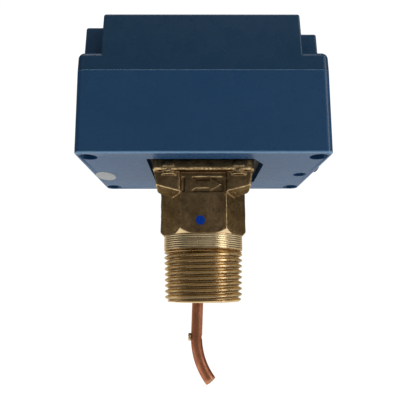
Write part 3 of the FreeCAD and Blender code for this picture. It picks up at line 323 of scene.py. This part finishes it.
# ---------------------------------------------------------------- material writing
class Shader:
    """A Principled material with short calls for the nodes that colour and roughen it."""

    def __init__(self, name, colour, roughness, metallic=0.0):
        self.material = bpy.data.materials.new(name)
        self.material.use_nodes = True
        self.tree = self.material.node_tree
        self.surface = self.tree.nodes["Principled BSDF"]
        self.bump_normal = None
        self.put("Base Color", colour)
        self.put("Roughness", roughness)
        self.put("Metallic", metallic)

    def put(self, socket, value):
        """A node's output or a constant into one of the surface's sockets."""
        feed(self.tree, self.surface.inputs[socket], value)

    def node(self, kind, **inputs):
        """A node with its named inputs set or linked."""
        return add_node(self.tree, kind, **inputs)

    def place(self, stretch=(1, 1, 1)):
        """Object coordinates, stretched."""
        source = self.node("TexCoord").outputs["Object"]
        if stretch == (1, 1, 1):
            return source
        return self.node("Mapping", Vector=source, Scale=stretch).outputs[0]

    def noise(self, scale, detail, stretch=(1, 1, 1), roughness=0.55):
        """Soft noise from 0 to 1; scale is in cells per metre."""
        place = self.place(stretch)
        made = self.node("TexNoise", Vector=place, Scale=scale, Detail=detail, Roughness=roughness)
        return made.outputs["Fac"]

    def cells(self, scale):
        """Distance to the nearest random point, for specks and pits."""
        return self.node("TexVoronoi", Vector=self.place(), Scale=scale).outputs["Distance"]

    def ramp(self, value, stops):
        """Colours or grey levels along a value; stops are (position, colour or grey)."""
        made = self.node("ValToRGB", Fac=value)
        set_stops(made, stops)
        return made.outputs["Color"]

    def mix(self, factor, first, second, how="MIX"):
        """Two colours mixed; a Mix node has its factor first and its two colours at 6 and 7."""
        made = self.node("Mix")
        made.data_type = "RGBA"
        made.blend_type = how
        for index, value in ((0, factor), (6, first), (7, second)):
            feed(self.tree, made.inputs[index], value)
        return made.outputs[2]

    def maths(self, how, first, second=0.0):
        """One arithmetic step."""
        made = self.node("Math")
        made.operation = how
        feed(self.tree, made.inputs[0], first)
        feed(self.tree, made.inputs[1], second)
        return made.outputs[0]

    def edges(self, low, high):
        """0 where the surface bends less than low, 1 on edges that bend more than high."""
        return self.node("MapRange", Value=self.bend(), From_Min=low, From_Max=high).outputs[0]

    def bend(self):
        """Pointiness: 0.5 on flat faces, more on outer edges and less in grooves."""
        return self.node("NewGeometry").outputs["Pointiness"]

    def bump(self, height, distance, strength):
        """Adds relief; distance is its height in metres."""
        inputs = {"Height": height, "Distance": distance, "Strength": strength}
        if self.bump_normal is not None:
            inputs["Normal"] = self.bump_normal
        self.bump_normal = self.node("Bump", **inputs).outputs[0]
        self.put("Normal", self.bump_normal)


# ---------------------------------------------------------------- materials
def blue_plastic(name, colour, glow, shade, painted_recess_tone):
    """Satin moulded polycarbonate with faint orange peel and hazy patches.

    Painted light and shade in hollows: a place less open than shade, by ambient occlusion, takes the colour
    times painted_recess_tone (lighter on the base, darker on the cover) and mirrors next to nothing of the
    bright floor.
    """
    shader = Shader(name, colour, 0.28)
    haze = shader.ramp(shader.noise(55, 5, (1, 1, 1.6)), ((0.3, 0.0), (0.75, 1.0)))
    tint = shader.mix(haze, colour, glow)
    hidden = shader.node("AmbientOcclusion", Distance=20 * MM)
    hidden.samples = 8
    # painted shade: hollows found by ambient occlusion take another colour and lose their reflection
    dark = shader.ramp(hidden.outputs["AO"], ((shade * 0.35, 0.9), (shade, 0.0)))
    shader.put("Base Color", shader.mix(dark, tint, tuple(c * painted_recess_tone for c in colour)))
    shader.put("Specular IOR Level", shader.maths("SUBTRACT", 0.3, shader.maths("MULTIPLY", dark, 0.33)))
    shader.put("Roughness", shader.ramp(shader.noise(180, 6), ((0.25, 0.22), (0.8, 0.34))))
    shader.bump(shader.noise(700, 2), 0.02 * MM, 0.07)
    shader.bump(shader.noise(6500, 2), 0.006 * MM, 0.08)
    return shader.material


def cast_brass():
    """Sand cast brass: brown grimy skin with a sparkling grain, rubbed bright here and there on its edges,
    with painted highlights on edges that face down and painted shade on undersides.
    """
    shader = Shader("cast_brass", (0.25, 0.17, 0.09), 0.42, 1.0)
    patches = shader.ramp(
        shader.noise(90, 6),
        ((0.28, (0.17, 0.108, 0.050)), (0.5, (0.28, 0.185, 0.088)), (0.75, (0.40, 0.275, 0.14))),
    )
    grime = shader.ramp(shader.noise(420, 5), ((0.42, 0.0), (0.62, 1.0)))
    skin = shader.mix(shader.maths("MULTIPLY", grime, 0.45), patches, (0.10, 0.062, 0.032))
    facing = shader.node("SeparateXYZ", Vector=shader.node("NewGeometry").outputs["Normal"])
    below = shader.maths("MULTIPLY", facing.outputs["Z"], -1.0)
    # painted shade: faces that look down, away from the middle, are darkened
    skin = shader.mix(1.0, skin, painted_underside_shade(shader, below), "MULTIPLY")
    # pale brass on convex edges: partly edge wear, partly a painted highlight
    rubbed = shader.ramp(shader.noise(330, 4), ((0.38, 0.0), (0.56, 1.0)))
    rubbed = shader.maths("MULTIPLY", rubbed, shader.edges(0.51, 0.55))
    # painted highlight on edges that face down, where the light from below falls
    lower = shader.ramp(below, ((0.15, 0.0), (0.35, 1.0), (0.85, 1.0), (0.97, 0.0)))
    lower = shader.maths("MULTIPLY", lower, shader.edges(0.501, 0.516))
    painted_glint_gaps = shader.ramp(shader.noise(520, 3), ((0.36, 0.25), (0.58, 1.0)))
    lower = shader.maths("MULTIPLY", lower, painted_glint_gaps)
    rubbed = shader.maths("MAXIMUM", rubbed, shader.maths("MULTIPLY", lower, 0.9))
    shader.put("Base Color", shader.mix(rubbed, skin, (0.84, 0.62, 0.33)))
    shader.put("Specular Tint", (0.72, 0.60, 0.46))
    shader.put("Roughness", shader.ramp(shader.noise(300, 5), ((0.3, 0.28), (0.7, 0.46))))
    shader.bump(shader.noise(1100, 6, roughness=0.7), 0.22 * MM, 0.85)
    shader.bump(shader.ramp(shader.cells(1900), ((0.0, 0.0), (0.35, 1.0))), 0.05 * MM, 0.5)
    return shader.material


def painted_underside_shade(shader, below):
    """White, but darker on faces that look down, away from the casting's middle: painted shade."""
    across = shader.node("SeparateXYZ", Vector=shader.place()).outputs["X"]
    middle = shader.node(
        "MapRange",
        Value=shader.maths("ABSOLUTE", across),
        From_Min=8.5 * MM,
        From_Max=10.5 * MM,
        To_Min=1.0,
        To_Max=0.0,
    )
    return shader.mix(middle.outputs[0], shader.ramp(below, ((0.72, 1.0), (0.9, 0.42))), (1, 1, 1))


def turned_brass():
    """Lathe turned brass: soft light streaks and darker brown low in the grooves."""
    shader = Shader("turned_brass", (0.74, 0.53, 0.27), 0.3, 1.0)
    stain = shader.ramp(
        shader.noise(60, 5, (1, 1, 0.5)),
        ((0.3, (0.50, 0.37, 0.20)), (0.55, (0.68, 0.52, 0.30)), (0.8, (0.82, 0.66, 0.41))),
    )
    # darker brown where the surface bends into grooves
    darker_in_grooves = shader.node("MapRange", Value=shader.bend(), From_Min=0.48, From_Max=0.40, To_Max=0.75)
    shader.put("Base Color", shader.mix(darker_in_grooves.outputs[0], stain, (0.16, 0.12, 0.075)))
    shader.put("Specular Tint", (0.85, 0.74, 0.55))
    shader.put("Roughness", shader.ramp(shader.noise(300, 2, (1, 1, 3)), ((0.3, 0.24), (0.7, 0.34))))
    shader.bump(shader.noise(160, 2, (0.4, 0.4, 8)), 0.01 * MM, 0.25)
    return shader.material


def copper():
    """Drawn copper bar, brown with tarnish and rubbed pink where it was handled."""
    shader = Shader("tarnished_copper", (0.39, 0.157, 0.083), 0.5, 1.0)
    tarnish = shader.ramp(
        shader.noise(190, 6, (1, 1, 0.35)),
        ((0.3, (0.25, 0.09, 0.044)), (0.52, (0.41, 0.16, 0.085)), (0.75, (0.62, 0.27, 0.15))),
    )
    shader.put("Base Color", shader.mix(shader.edges(0.52, 0.6), tarnish, (0.80, 0.44, 0.26)))
    shader.put("Specular Tint", (0.28, 0.15, 0.1))
    shader.put("Roughness", shader.ramp(shader.noise(800, 4), ((0.3, 0.4), (0.7, 0.58))))
    shader.bump(shader.noise(1400, 4, (1, 1, 0.2)), 0.02 * MM, 0.4)
    return shader.material


def plain_metal(name, colour, roughness, dark):
    """Plated or ground steel with faint streaks."""
    shader = Shader(name, colour, roughness, 1.0)
    streak = shader.ramp(shader.noise(240, 5, (1, 1, 6)), ((0.3, dark), (0.7, colour)))
    shader.put("Base Color", streak)
    low, high = roughness * 0.7, roughness * 1.4
    shader.put("Roughness", shader.ramp(shader.noise(900, 4), ((0.3, low), (0.7, high))))
    shader.bump(shader.noise(2600, 3), 0.01 * MM, 0.5)
    return shader.material


def moulded(name, colour, roughness, pale, gloss=0.5):
    """Moulded plastic, rubber or lacquer with a fine grain."""
    shader = Shader(name, colour, roughness)
    shader.put("Specular IOR Level", gloss)
    shader.put("Base Color", shader.ramp(shader.noise(350, 5), ((0.3, colour), (0.8, pale))))
    low, high = roughness * 0.85, roughness * 1.1
    shader.put("Roughness", shader.ramp(shader.noise(1200, 4), ((0.3, low), (0.7, high))))
    shader.bump(shader.noise(3200, 3), 0.02 * MM, 0.5)
    return shader.material


def make_materials():
    """Every material by the record's slot name, plus the few that only the looks have."""
    return {
        # the last number scales the colour in hollows, painted light on the base and painted shade on the
        # cover
        "base_blue": blue_plastic("base_blue", (0.020, 0.080, 0.185), (0.023, 0.088, 0.200), 0.66, 1.3),
        "cover_blue": blue_plastic("cover_blue", (0.015, 0.057, 0.122), (0.017, 0.063, 0.132), 0.8, 0.7),
        # painted highlight: a paler blue for the light along the base's rounded edges
        "painted_highlight_blue": moulded("painted_highlight_blue", (0.16, 0.33, 0.53), 0.25, (0.20, 0.38, 0.59)),
        "cast_brass": cast_brass(),
        "turned_brass": turned_brass(),
        "copper": copper(),
        "zinc_steel": plain_metal("zinc_plated_steel", (0.62, 0.61, 0.58), 0.32, (0.42, 0.41, 0.37)),
        "stainless": plain_metal("ground_stainless", (0.66, 0.66, 0.65), 0.22, (0.5, 0.5, 0.5)),
        "spring_steel": plain_metal("spring_wire", (0.48, 0.48, 0.49), 0.28, (0.3, 0.3, 0.3)),
        "bronze_bellows": plain_metal("bellows_bronze", (0.66, 0.44, 0.20), 0.26, (0.42, 0.26, 0.11)),
        "gasket_rubber": moulded("gasket_rubber", (0.018, 0.018, 0.02), 0.7, (0.03, 0.03, 0.033)),
        "black_plastic": moulded("black_nylon", (0.010, 0.010, 0.012), 0.6, (0.016, 0.016, 0.018), 0.15),
        "pale_washer": moulded("pale_fibre", (0.74, 0.74, 0.72), 0.6, (0.84, 0.84, 0.82)),
        "switch_plastic": moulded("switch_phenolic", (0.03, 0.02, 0.016), 0.38, (0.045, 0.03, 0.024)),
        "plunger_plastic": moulded("plunger_nylon", (0.55, 0.04, 0.03), 0.35, (0.62, 0.06, 0.04)),
        "red_screw": moulded("red_lacquer", (0.50, 0.03, 0.02), 0.3, (0.58, 0.05, 0.03)),
        "yellow_screw": moulded("yellow_lacquer", (0.70, 0.48, 0.03), 0.3, (0.78, 0.56, 0.05)),
        "blue_screw": moulded("blue_lacquer", (0.02, 0.09, 0.48), 0.3, (0.03, 0.12, 0.55)),
        "green_screw": moulded("green_lacquer", (0.02, 0.28, 0.07), 0.3, (0.03, 0.34, 0.09)),
        "paint_mark": moulded("blue_paint", (0.001, 0.050, 0.42), 0.6, (0.002, 0.060, 0.47), 0.12),
        "sticker": moulded("pale_sticker", (0.33, 0.345, 0.345), 0.5, (0.40, 0.415, 0.41)),
    }


# ---------------------------------------------------------------- mesh helpers
def new_object(name, mesh):
    """An object in the scene, at the frame's origin."""
    made = bpy.data.objects.new(name, mesh)
    bpy.context.collection.objects.link(made)
    return made


def from_bmesh(name, bm):
    """The bmesh as a new object."""
    mesh = bpy.data.meshes.new(name)
    bm.normal_update()
    bm.to_mesh(mesh)
    bm.free()
    return new_object(name, mesh)


def soften(piece, degrees=SOFT_ANGLE):
    """Smooth shading that keeps edges sharper than the angle, with flat faces kept flat."""
    mesh = piece.data
    mesh.polygons.foreach_set("use_smooth", [True] * len(mesh.polygons))
    mesh.set_sharp_from_angle(angle=math.radians(degrees))
    weighted = piece.modifiers.new("even_normals", "WEIGHTED_NORMAL")
    weighted.keep_sharp = True
    return piece


def applied(piece):
    """The piece with its modifiers worked into a new mesh."""
    graph = bpy.context.evaluated_depsgraph_get()
    mesh = bpy.data.meshes.new_from_object(piece.evaluated_get(graph))
    piece.modifiers.clear()
    piece.data = mesh
    return piece


def finish_piece(piece, body, slot, material, *replaced):
    """Gives the piece its place in the frame and its looks."""
    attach(piece, body)
    return dress_piece(piece, slot, material, *replaced)


def dress_piece(piece, slot, material, *replaced):
    """Gives the piece its material, and hides the CAD nodes it stands for."""
    piece.data.materials.clear()
    piece.data.materials.append(material)
    if replaced:
        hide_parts(*replaced)
    return piece


def body_of_node(node):
    """The body that carries a CAD node."""
    bodies = frame["record"]["behaviour"]["bodies"]
    return next(name for name, nodes in bodies.items() if node in nodes)


def slot_of_node(node):
    """The record's material slot of a CAD node."""
    return next(row["material_slot"] for row in frame["record"]["subparts"] if row["node"] == node)


def smoothed_copy(node, material, degrees):
    """A smooth shaded copy of a CAD node that stands for it; the bellows rides on no body and keeps its place
    baked in.
    """
    piece = soften(from_bmesh(node + "_finished", welded_copy(node)), degrees)
    if node != "bellows":
        return finish_piece(piece, body_of_node(node), slot_of_node(node), material, node)
    dress_piece(piece, slot_of_node(node), material, node)
    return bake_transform(piece)


def welded_copy(node):
    """A bmesh of a CAD node with its doubled points joined."""
    bm = bmesh.new()
    bm.from_mesh(frame["nodes"][node].data)
    bmesh.ops.remove_doubles(bm, verts=bm.verts, dist=WELD)
    return bm


def cut_copy(node, height, upper):
    """A closed bmesh of the part of a CAD node above or below a level cut."""
    bm = welded_copy(node)
    everything = bm.verts[:] + bm.edges[:] + bm.faces[:]
    cut = bmesh.ops.bisect_plane(
        bm,
        geom=everything,
        plane_co=(0, 0, height),
        plane_no=(0, 0, 1),
        clear_inner=upper,
        clear_outer=not upper,
    )
    rim = [item for item in cut["geom_cut"] if isinstance(item, bmesh.types.BMEdge)]
    bmesh.ops.triangle_fill(bm, edges=rim, use_beauty=True)
    return bm


# ---------------------------------------------------------------- turned nipple
def smooth_step(low, high, value):
    """0 below low, 1 above high, smooth between."""
    t = min(1.0, max(0.0, (value - low) / (high - low)))
    return t * t * (3 - 2 * t)


def thread_radius(height, angle):
    """Radius of the right hand taper thread at a height and an angle."""
    crest = THREAD_CREST + height * THREAD_TAPER
    phase = (height / THREAD_PITCH - angle / (2 * math.pi)) % 1.0
    rise = 1 - abs(2 * phase - 1)
    form = min(1.0, max(0.0, (rise - THREAD_ROOT) / THREAD_FLANK))
    form = (1 - THREAD_SOFTNESS) * form + THREAD_SOFTNESS * form * form * (3 - 2 * form)
    depth = THREAD_DEPTH * smooth_step(0.0, -THREAD_RUN_IN, height)
    radius = crest - depth * (1 - form)
    chamfer = THREAD_CREST - THREAD_CHAMFER + (height - THREAD_END) * THREAD_CHAMFER_SLOPE
    return min(radius, chamfer)


def thread_rows():
    """Rows of places along the helix, so that crests and roots run unbroken round the nipple."""
    turns = math.ceil(-THREAD_END / THREAD_PITCH) + 1
    rows = []
    for turn in range(0, -turns - 1, -1):
        for phase in reversed(THREAD_PHASES):
            row = []
            for column in range(NIPPLE_COLUMNS + 1):
                share = column / NIPPLE_COLUMNS
                height = min(THREAD_TOP, max(THREAD_END, (turn + phase + share) * THREAD_PITCH))
                angle = 2 * math.pi * share
                radius = thread_radius(height, angle)
                row.append((radius * math.cos(angle), radius * math.sin(angle), height))
            rows.append(row)
    return rows


def level_row(height, radius):
    """A level row of places round the nipple."""
    angles = [2 * math.pi * column / NIPPLE_COLUMNS for column in range(NIPPLE_COLUMNS + 1)]
    return [(radius * math.cos(angle), radius * math.sin(angle), height) for angle in angles]


def collar_rows():
    """Bore edge, top face, ringed side and runout groove of the collar, from the top down."""
    top = COLLAR_TOP + COLLAR_LIP
    rows = [level_row(top, BORE_RADIUS), level_row(top, COLLAR_RADIUS - COLLAR_EDGE)]
    height = COLLAR_TOP - COLLAR_FIRST_ROW
    while height > COLLAR_BOTTOM + COLLAR_EDGE:
        groove = abs(math.sin(math.pi * height / COLLAR_RING_PITCH)) ** COLLAR_RING_SHAPE
        rows.append(level_row(height, COLLAR_RADIUS - COLLAR_RING_DEPTH * (1 - groove)))
        height -= COLLAR_ROW
    rows += [level_row(COLLAR_BOTTOM - down, COLLAR_RADIUS - inward) for down, inward in COLLAR_FOOT]
    return rows


def turned_nipple(materials):
    """Collar with its lathe rings, runout groove, thread and bore as one closed skin."""
    rows = collar_rows() + thread_rows()
    rows.append(level_row(THREAD_END, BORE_RADIUS + BORE_EDGE))
    rows.append(level_row(THREAD_END + BORE_EDGE, BORE_RADIUS))
    rows.append(rows[0])
    bm = bmesh.new()
    places = [[bm.verts.new(place) for place in row] for row in rows]
    for upper, lower in zip(places, places[1:]):
        for column in range(NIPPLE_COLUMNS):
            bm.faces.new((upper[column], lower[column], lower[column + 1], upper[column + 1]))
    bmesh.ops.remove_doubles(bm, verts=bm.verts, dist=2 * WELD)
    bmesh.ops.dissolve_degenerate(bm, edges=bm.edges, dist=WELD)
    bmesh.ops.recalc_face_normals(bm, faces=bm.faces)
    nipple = soften(from_bmesh("turned_nipple", bm), NIPPLE_ANGLE)
    return finish_piece(nipple, "housing", "cast_brass", materials["turned_brass"], "brass_body")


# ---------------------------------------------------------------- cast body
def cast_body(materials):
    """The casting above the collar: rounded by remeshing, then roughened like sand cast metal."""
    bm = cut_copy("brass_body", COLLAR_TOP + CAST_OVERLAP, True)
    add_marks(bm)
    bmesh.ops.recalc_face_normals(bm, faces=bm.faces)
    casting = from_bmesh("cast_body", bm)
    remesh = casting.modifiers.new("skin", "REMESH")
    remesh.mode = "VOXEL"
    remesh.voxel_size = CAST_VOXEL
    soft = casting.modifiers.new("rounding", "SMOOTH")
    soft.factor = 0.5
    soft.iterations = CAST_SMOOTHING
    applied(casting)
    round_flange(casting.data)
    roughen(casting.data)
    casting.data.polygons.foreach_set("use_smooth", [True] * len(casting.data.polygons))
    finish_piece(casting, "housing", "cast_brass", materials["cast_brass"])
    casting.data.materials.append(materials["turned_brass"])
    for face in casting.data.polygons:
        if on_turned_bevel(face.center, face.normal):
            face.material_index = 1


def add_marks(bm):
    """Two raised round marks on the flange's front face, near its ends."""
    middle_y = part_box("brass_body")[0].y + FLANGE_MARK_DEPTH / 2 - FLANGE_MARK_RAISE
    for side in (-1, 1):
        centre = Vector((side * FLANGE_MARK_X, middle_y, FLANGE_MARK_Z))
        bmesh.ops.create_cone(
            bm,
            cap_ends=True,
            segments=40,
            radius1=FLANGE_MARK_RADIUS,
            radius2=FLANGE_MARK_RADIUS,
            depth=FLANGE_MARK_DEPTH,
            matrix=Matrix.Translation(centre) @ Matrix.Rotation(math.pi / 2, 4, "X"),
        )


def on_turned_bevel(place, normal):
    """Whether a face lies on the cone that was turned over the hexagon's lower corners."""
    slope = (HEX_CORNER + BEVEL_OVERHANG - COLLAR_RADIUS) / BEVEL_HEIGHT
    cone = COLLAR_RADIUS + (place.z - COLLAR_TOP) * slope
    near_cone = abs(place.xy.length - cone) < BEVEL_TOLERANCE
    return place.z < COLLAR_TOP + BEVEL_HEIGHT and near_cone and normal.z < BEVEL_LEAN


def round_flange(mesh):
    """Rounds the flange's lower outer edge, where the casting catches the light from below."""
    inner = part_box("brass_body")[1].x - FLANGE_CORNER
    for vertex in mesh.vertices:
        place = vertex.co
        core = Vector((max(abs(place.x) - inner, 0), max(abs(place.y) - inner, 0)))
        if core.length < WELD:
            continue
        side, rise = FLANGE_CORNER - core.length, place.z - FLANGE_BOTTOM
        if side > FLANGE_ROUND or not -FLANGE_SLACK < rise < FLANGE_ROUND:
            continue
        arm = Vector((FLANGE_ROUND - side, FLANGE_ROUND - rise))
        if arm.length > FLANGE_ROUND:
            pull = 1 - FLANGE_ROUND / arm.length
            inward = core.normalized() * arm.x * pull
            place.x -= math.copysign(inward.x, place.x)
            place.y -= math.copysign(inward.y, place.y)
            place.z += arm.y * pull


def roughen(mesh):
    """Moves the outer skin in and out by small uneven heights; the bore and top face stay true."""
    normals = [vertex.normal.copy() for vertex in mesh.vertices]
    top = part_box("brass_body")[1].z - TRUE_TOP
    for vertex, normal in zip(mesh.vertices, normals):
        place = vertex.co
        if place.z > top or place.xy.length < TRUE_RADIUS or place.z < COLLAR_TOP + TRUE_FOOT:
            continue
        dent = noise.noise(place * CAST_DENT_CELLS)
        grain = noise.noise(place * CAST_GRAIN_CELLS)
        vertex.co = place + normal * (CAST_DENTS * dent + CAST_GRAIN * grain)


# ---------------------------------------------------------------- small marks
def paint_dot(materials):
    """Hand painted blue inspection dot on the front flat."""
    material = materials["paint_mark"]
    centre = Vector((DOT_X, FRONT_FLAT_Y - DOT_GAP, DOT_Z))
    size = (DOT_RADIUS, DOT_THICK)
    flat_disc("paint_dot", material, centre, (0, -1, 0), *size, wobble=DOT_WOBBLE)


def base_sticker(materials):
    """Bare oval sticker under the base, at the left."""
    material = materials["sticker"]
    centre = Vector((STICKER_X, STICKER_Y, BASE_BOTTOM))
    size = (STICKER_RADIUS, STICKER_THICK)
    flat_disc("oval_sticker", material, centre, (0, 0, -1), *size, stretch=STICKER_STRETCH)


def flat_disc(name, material, centre, normal, radius, thick, wobble=0.0, stretch=1.0):
    """A thin domed disc; its edge may wander a little, and it may be stretched along Y to an oval."""
    bm = bmesh.new()
    turn = Vector((0, 0, 1)).rotation_difference(Vector(normal))
    loops = []
    for share, height in DISC_RINGS:
        loop = []
        for index in range(DISC_COLUMNS):
            angle = 2 * math.pi * index / DISC_COLUMNS
            around = Vector((math.cos(angle), math.sin(angle), 0))
            edge = 1 + wobble * noise.noise((around + Vector((0, 0, WOBBLE_PLACE))) * WOBBLE_CELLS)
            flat = around * radius * share * edge
            flat.z = thick * height
            spot = turn @ flat
            spot.y *= stretch
            loop.append(bm.verts.new(centre + spot))
        loops.append(loop)
    bm.faces.new(loops[0])
    for inner, outer in zip(loops, loops[1:]):
        for index in range(DISC_COLUMNS):
            after = (index + 1) % DISC_COLUMNS
            bm.faces.new((inner[index], inner[after], outer[after], outer[index]))
    bm.faces.new(list(reversed(loops[-1])))
    bmesh.ops.recalc_face_normals(bm, faces=bm.faces)
    finish_piece(soften(from_bmesh(name, bm), DISC_ANGLE), "housing", "pale_washer", material)


# ---------------------------------------------------------------- the whole part
def ease_parting(mesh):
    """A fine chamfer along the base's upper outer edge, where it catches the light."""
    bm = bmesh.new()
    bm.from_mesh(mesh)
    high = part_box("housing_base")[1]
    rim = []
    for edge in bm.edges:
        ends = [vertex.co for vertex in edge.verts]
        level = all(abs(end.z - PARTING) < NEAR_LEVEL for end in ends)
        if level and all(on_outline(end, high) for end in ends) and edge.calc_face_angle(0) > RIM_ANGLE:
            rim.append(edge)
    bmesh.ops.bevel(bm, geom=rim, offset=PARTING_CHAMFER, segments=2, affect="EDGES", profile=0.5)
    bm.to_mesh(mesh)
    bm.free()


def on_outline(place, high):
    """Whether a point lies on the base's outer walls or rounded corners."""
    return min(high.x - abs(place.x), high.y - abs(place.y)) < NEAR_WALL or near_corner(place, high)


def near_corner(place, high):
    """Whether a point lies on one of the rounded upright corners."""
    inner = Vector((high.x - BASE_CORNER, high.y - BASE_CORNER))
    away = Vector((abs(place.x) - inner.x, abs(place.y) - inner.y))
    return away.x > 0 and away.y > 0 and abs(away.length - BASE_CORNER) < NEAR_CORNER


def dress(materials):
    """Every CAD node that keeps its shape, with its own material."""
    own = {"housing_base": "base_blue", "housing_cover": "cover_blue"}
    for node in sorted(frame["nodes"]):
        if node in ("brass_body", "range_spring"):
            continue
        material = materials[own.get(node, slot_of_node(node))]
        piece = smoothed_copy(node, material, HOUSING_ANGLE if node in own else SOFT_ANGLE)
        if node == "housing_base":
            ease_parting(piece.data)
            paint_edge_highlights(piece, materials["painted_highlight_blue"])


def paint_edge_highlights(base, material):
    """The base's lower outer rounding and its parting chamfer take a paler blue: a painted highlight."""
    base.data.materials.append(material)
    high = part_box("housing_base")[1]
    upright, level = PAINTED_HIGHLIGHT_LEAN
    for face in base.data.polygons:
        place = face.center
        slanting = upright < abs(face.normal.z) < level
        outside = high.x - abs(place.x) < PAINTED_HIGHLIGHT_SIDE or high.y - abs(place.y) < PAINTED_HIGHLIGHT_FRONT
        at_rim = place.z < BASE_BOTTOM + BOTTOM_ROUND or place.z > PARTING - PARTING_CHAMFER
        # these faces take the paler blue as a painted highlight
        if slanting and outside and at_rim:
            face.material_index = 1


def range_spring(material):
    """The spring cut in two halves at its middle height; each keeps its place baked in."""
    low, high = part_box("range_spring")
    foot, middle, head = ((0, 0, height) for height in (low.z, (low.z + high.z) / 2, high.z))
    lower = soften(from_bmesh("range_spring_lower", cut_copy("range_spring", middle[2], False)))
    dress_piece(lower, slot_of_node("range_spring"), material, "range_spring")
    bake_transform(lower)
    upper = soften(from_bmesh("range_spring_upper", cut_copy("range_spring", middle[2], True)))
    dress_piece(upper, slot_of_node("range_spring"), material)
    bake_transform(upper)


add_camera()
add_stage()
all_materials = make_materials()
dress(all_materials)
range_spring(all_materials[slot_of_node("range_spring")])
turned_nipple(all_materials)
cast_body(all_materials)
paint_dot(all_materials)
base_sticker(all_materials)
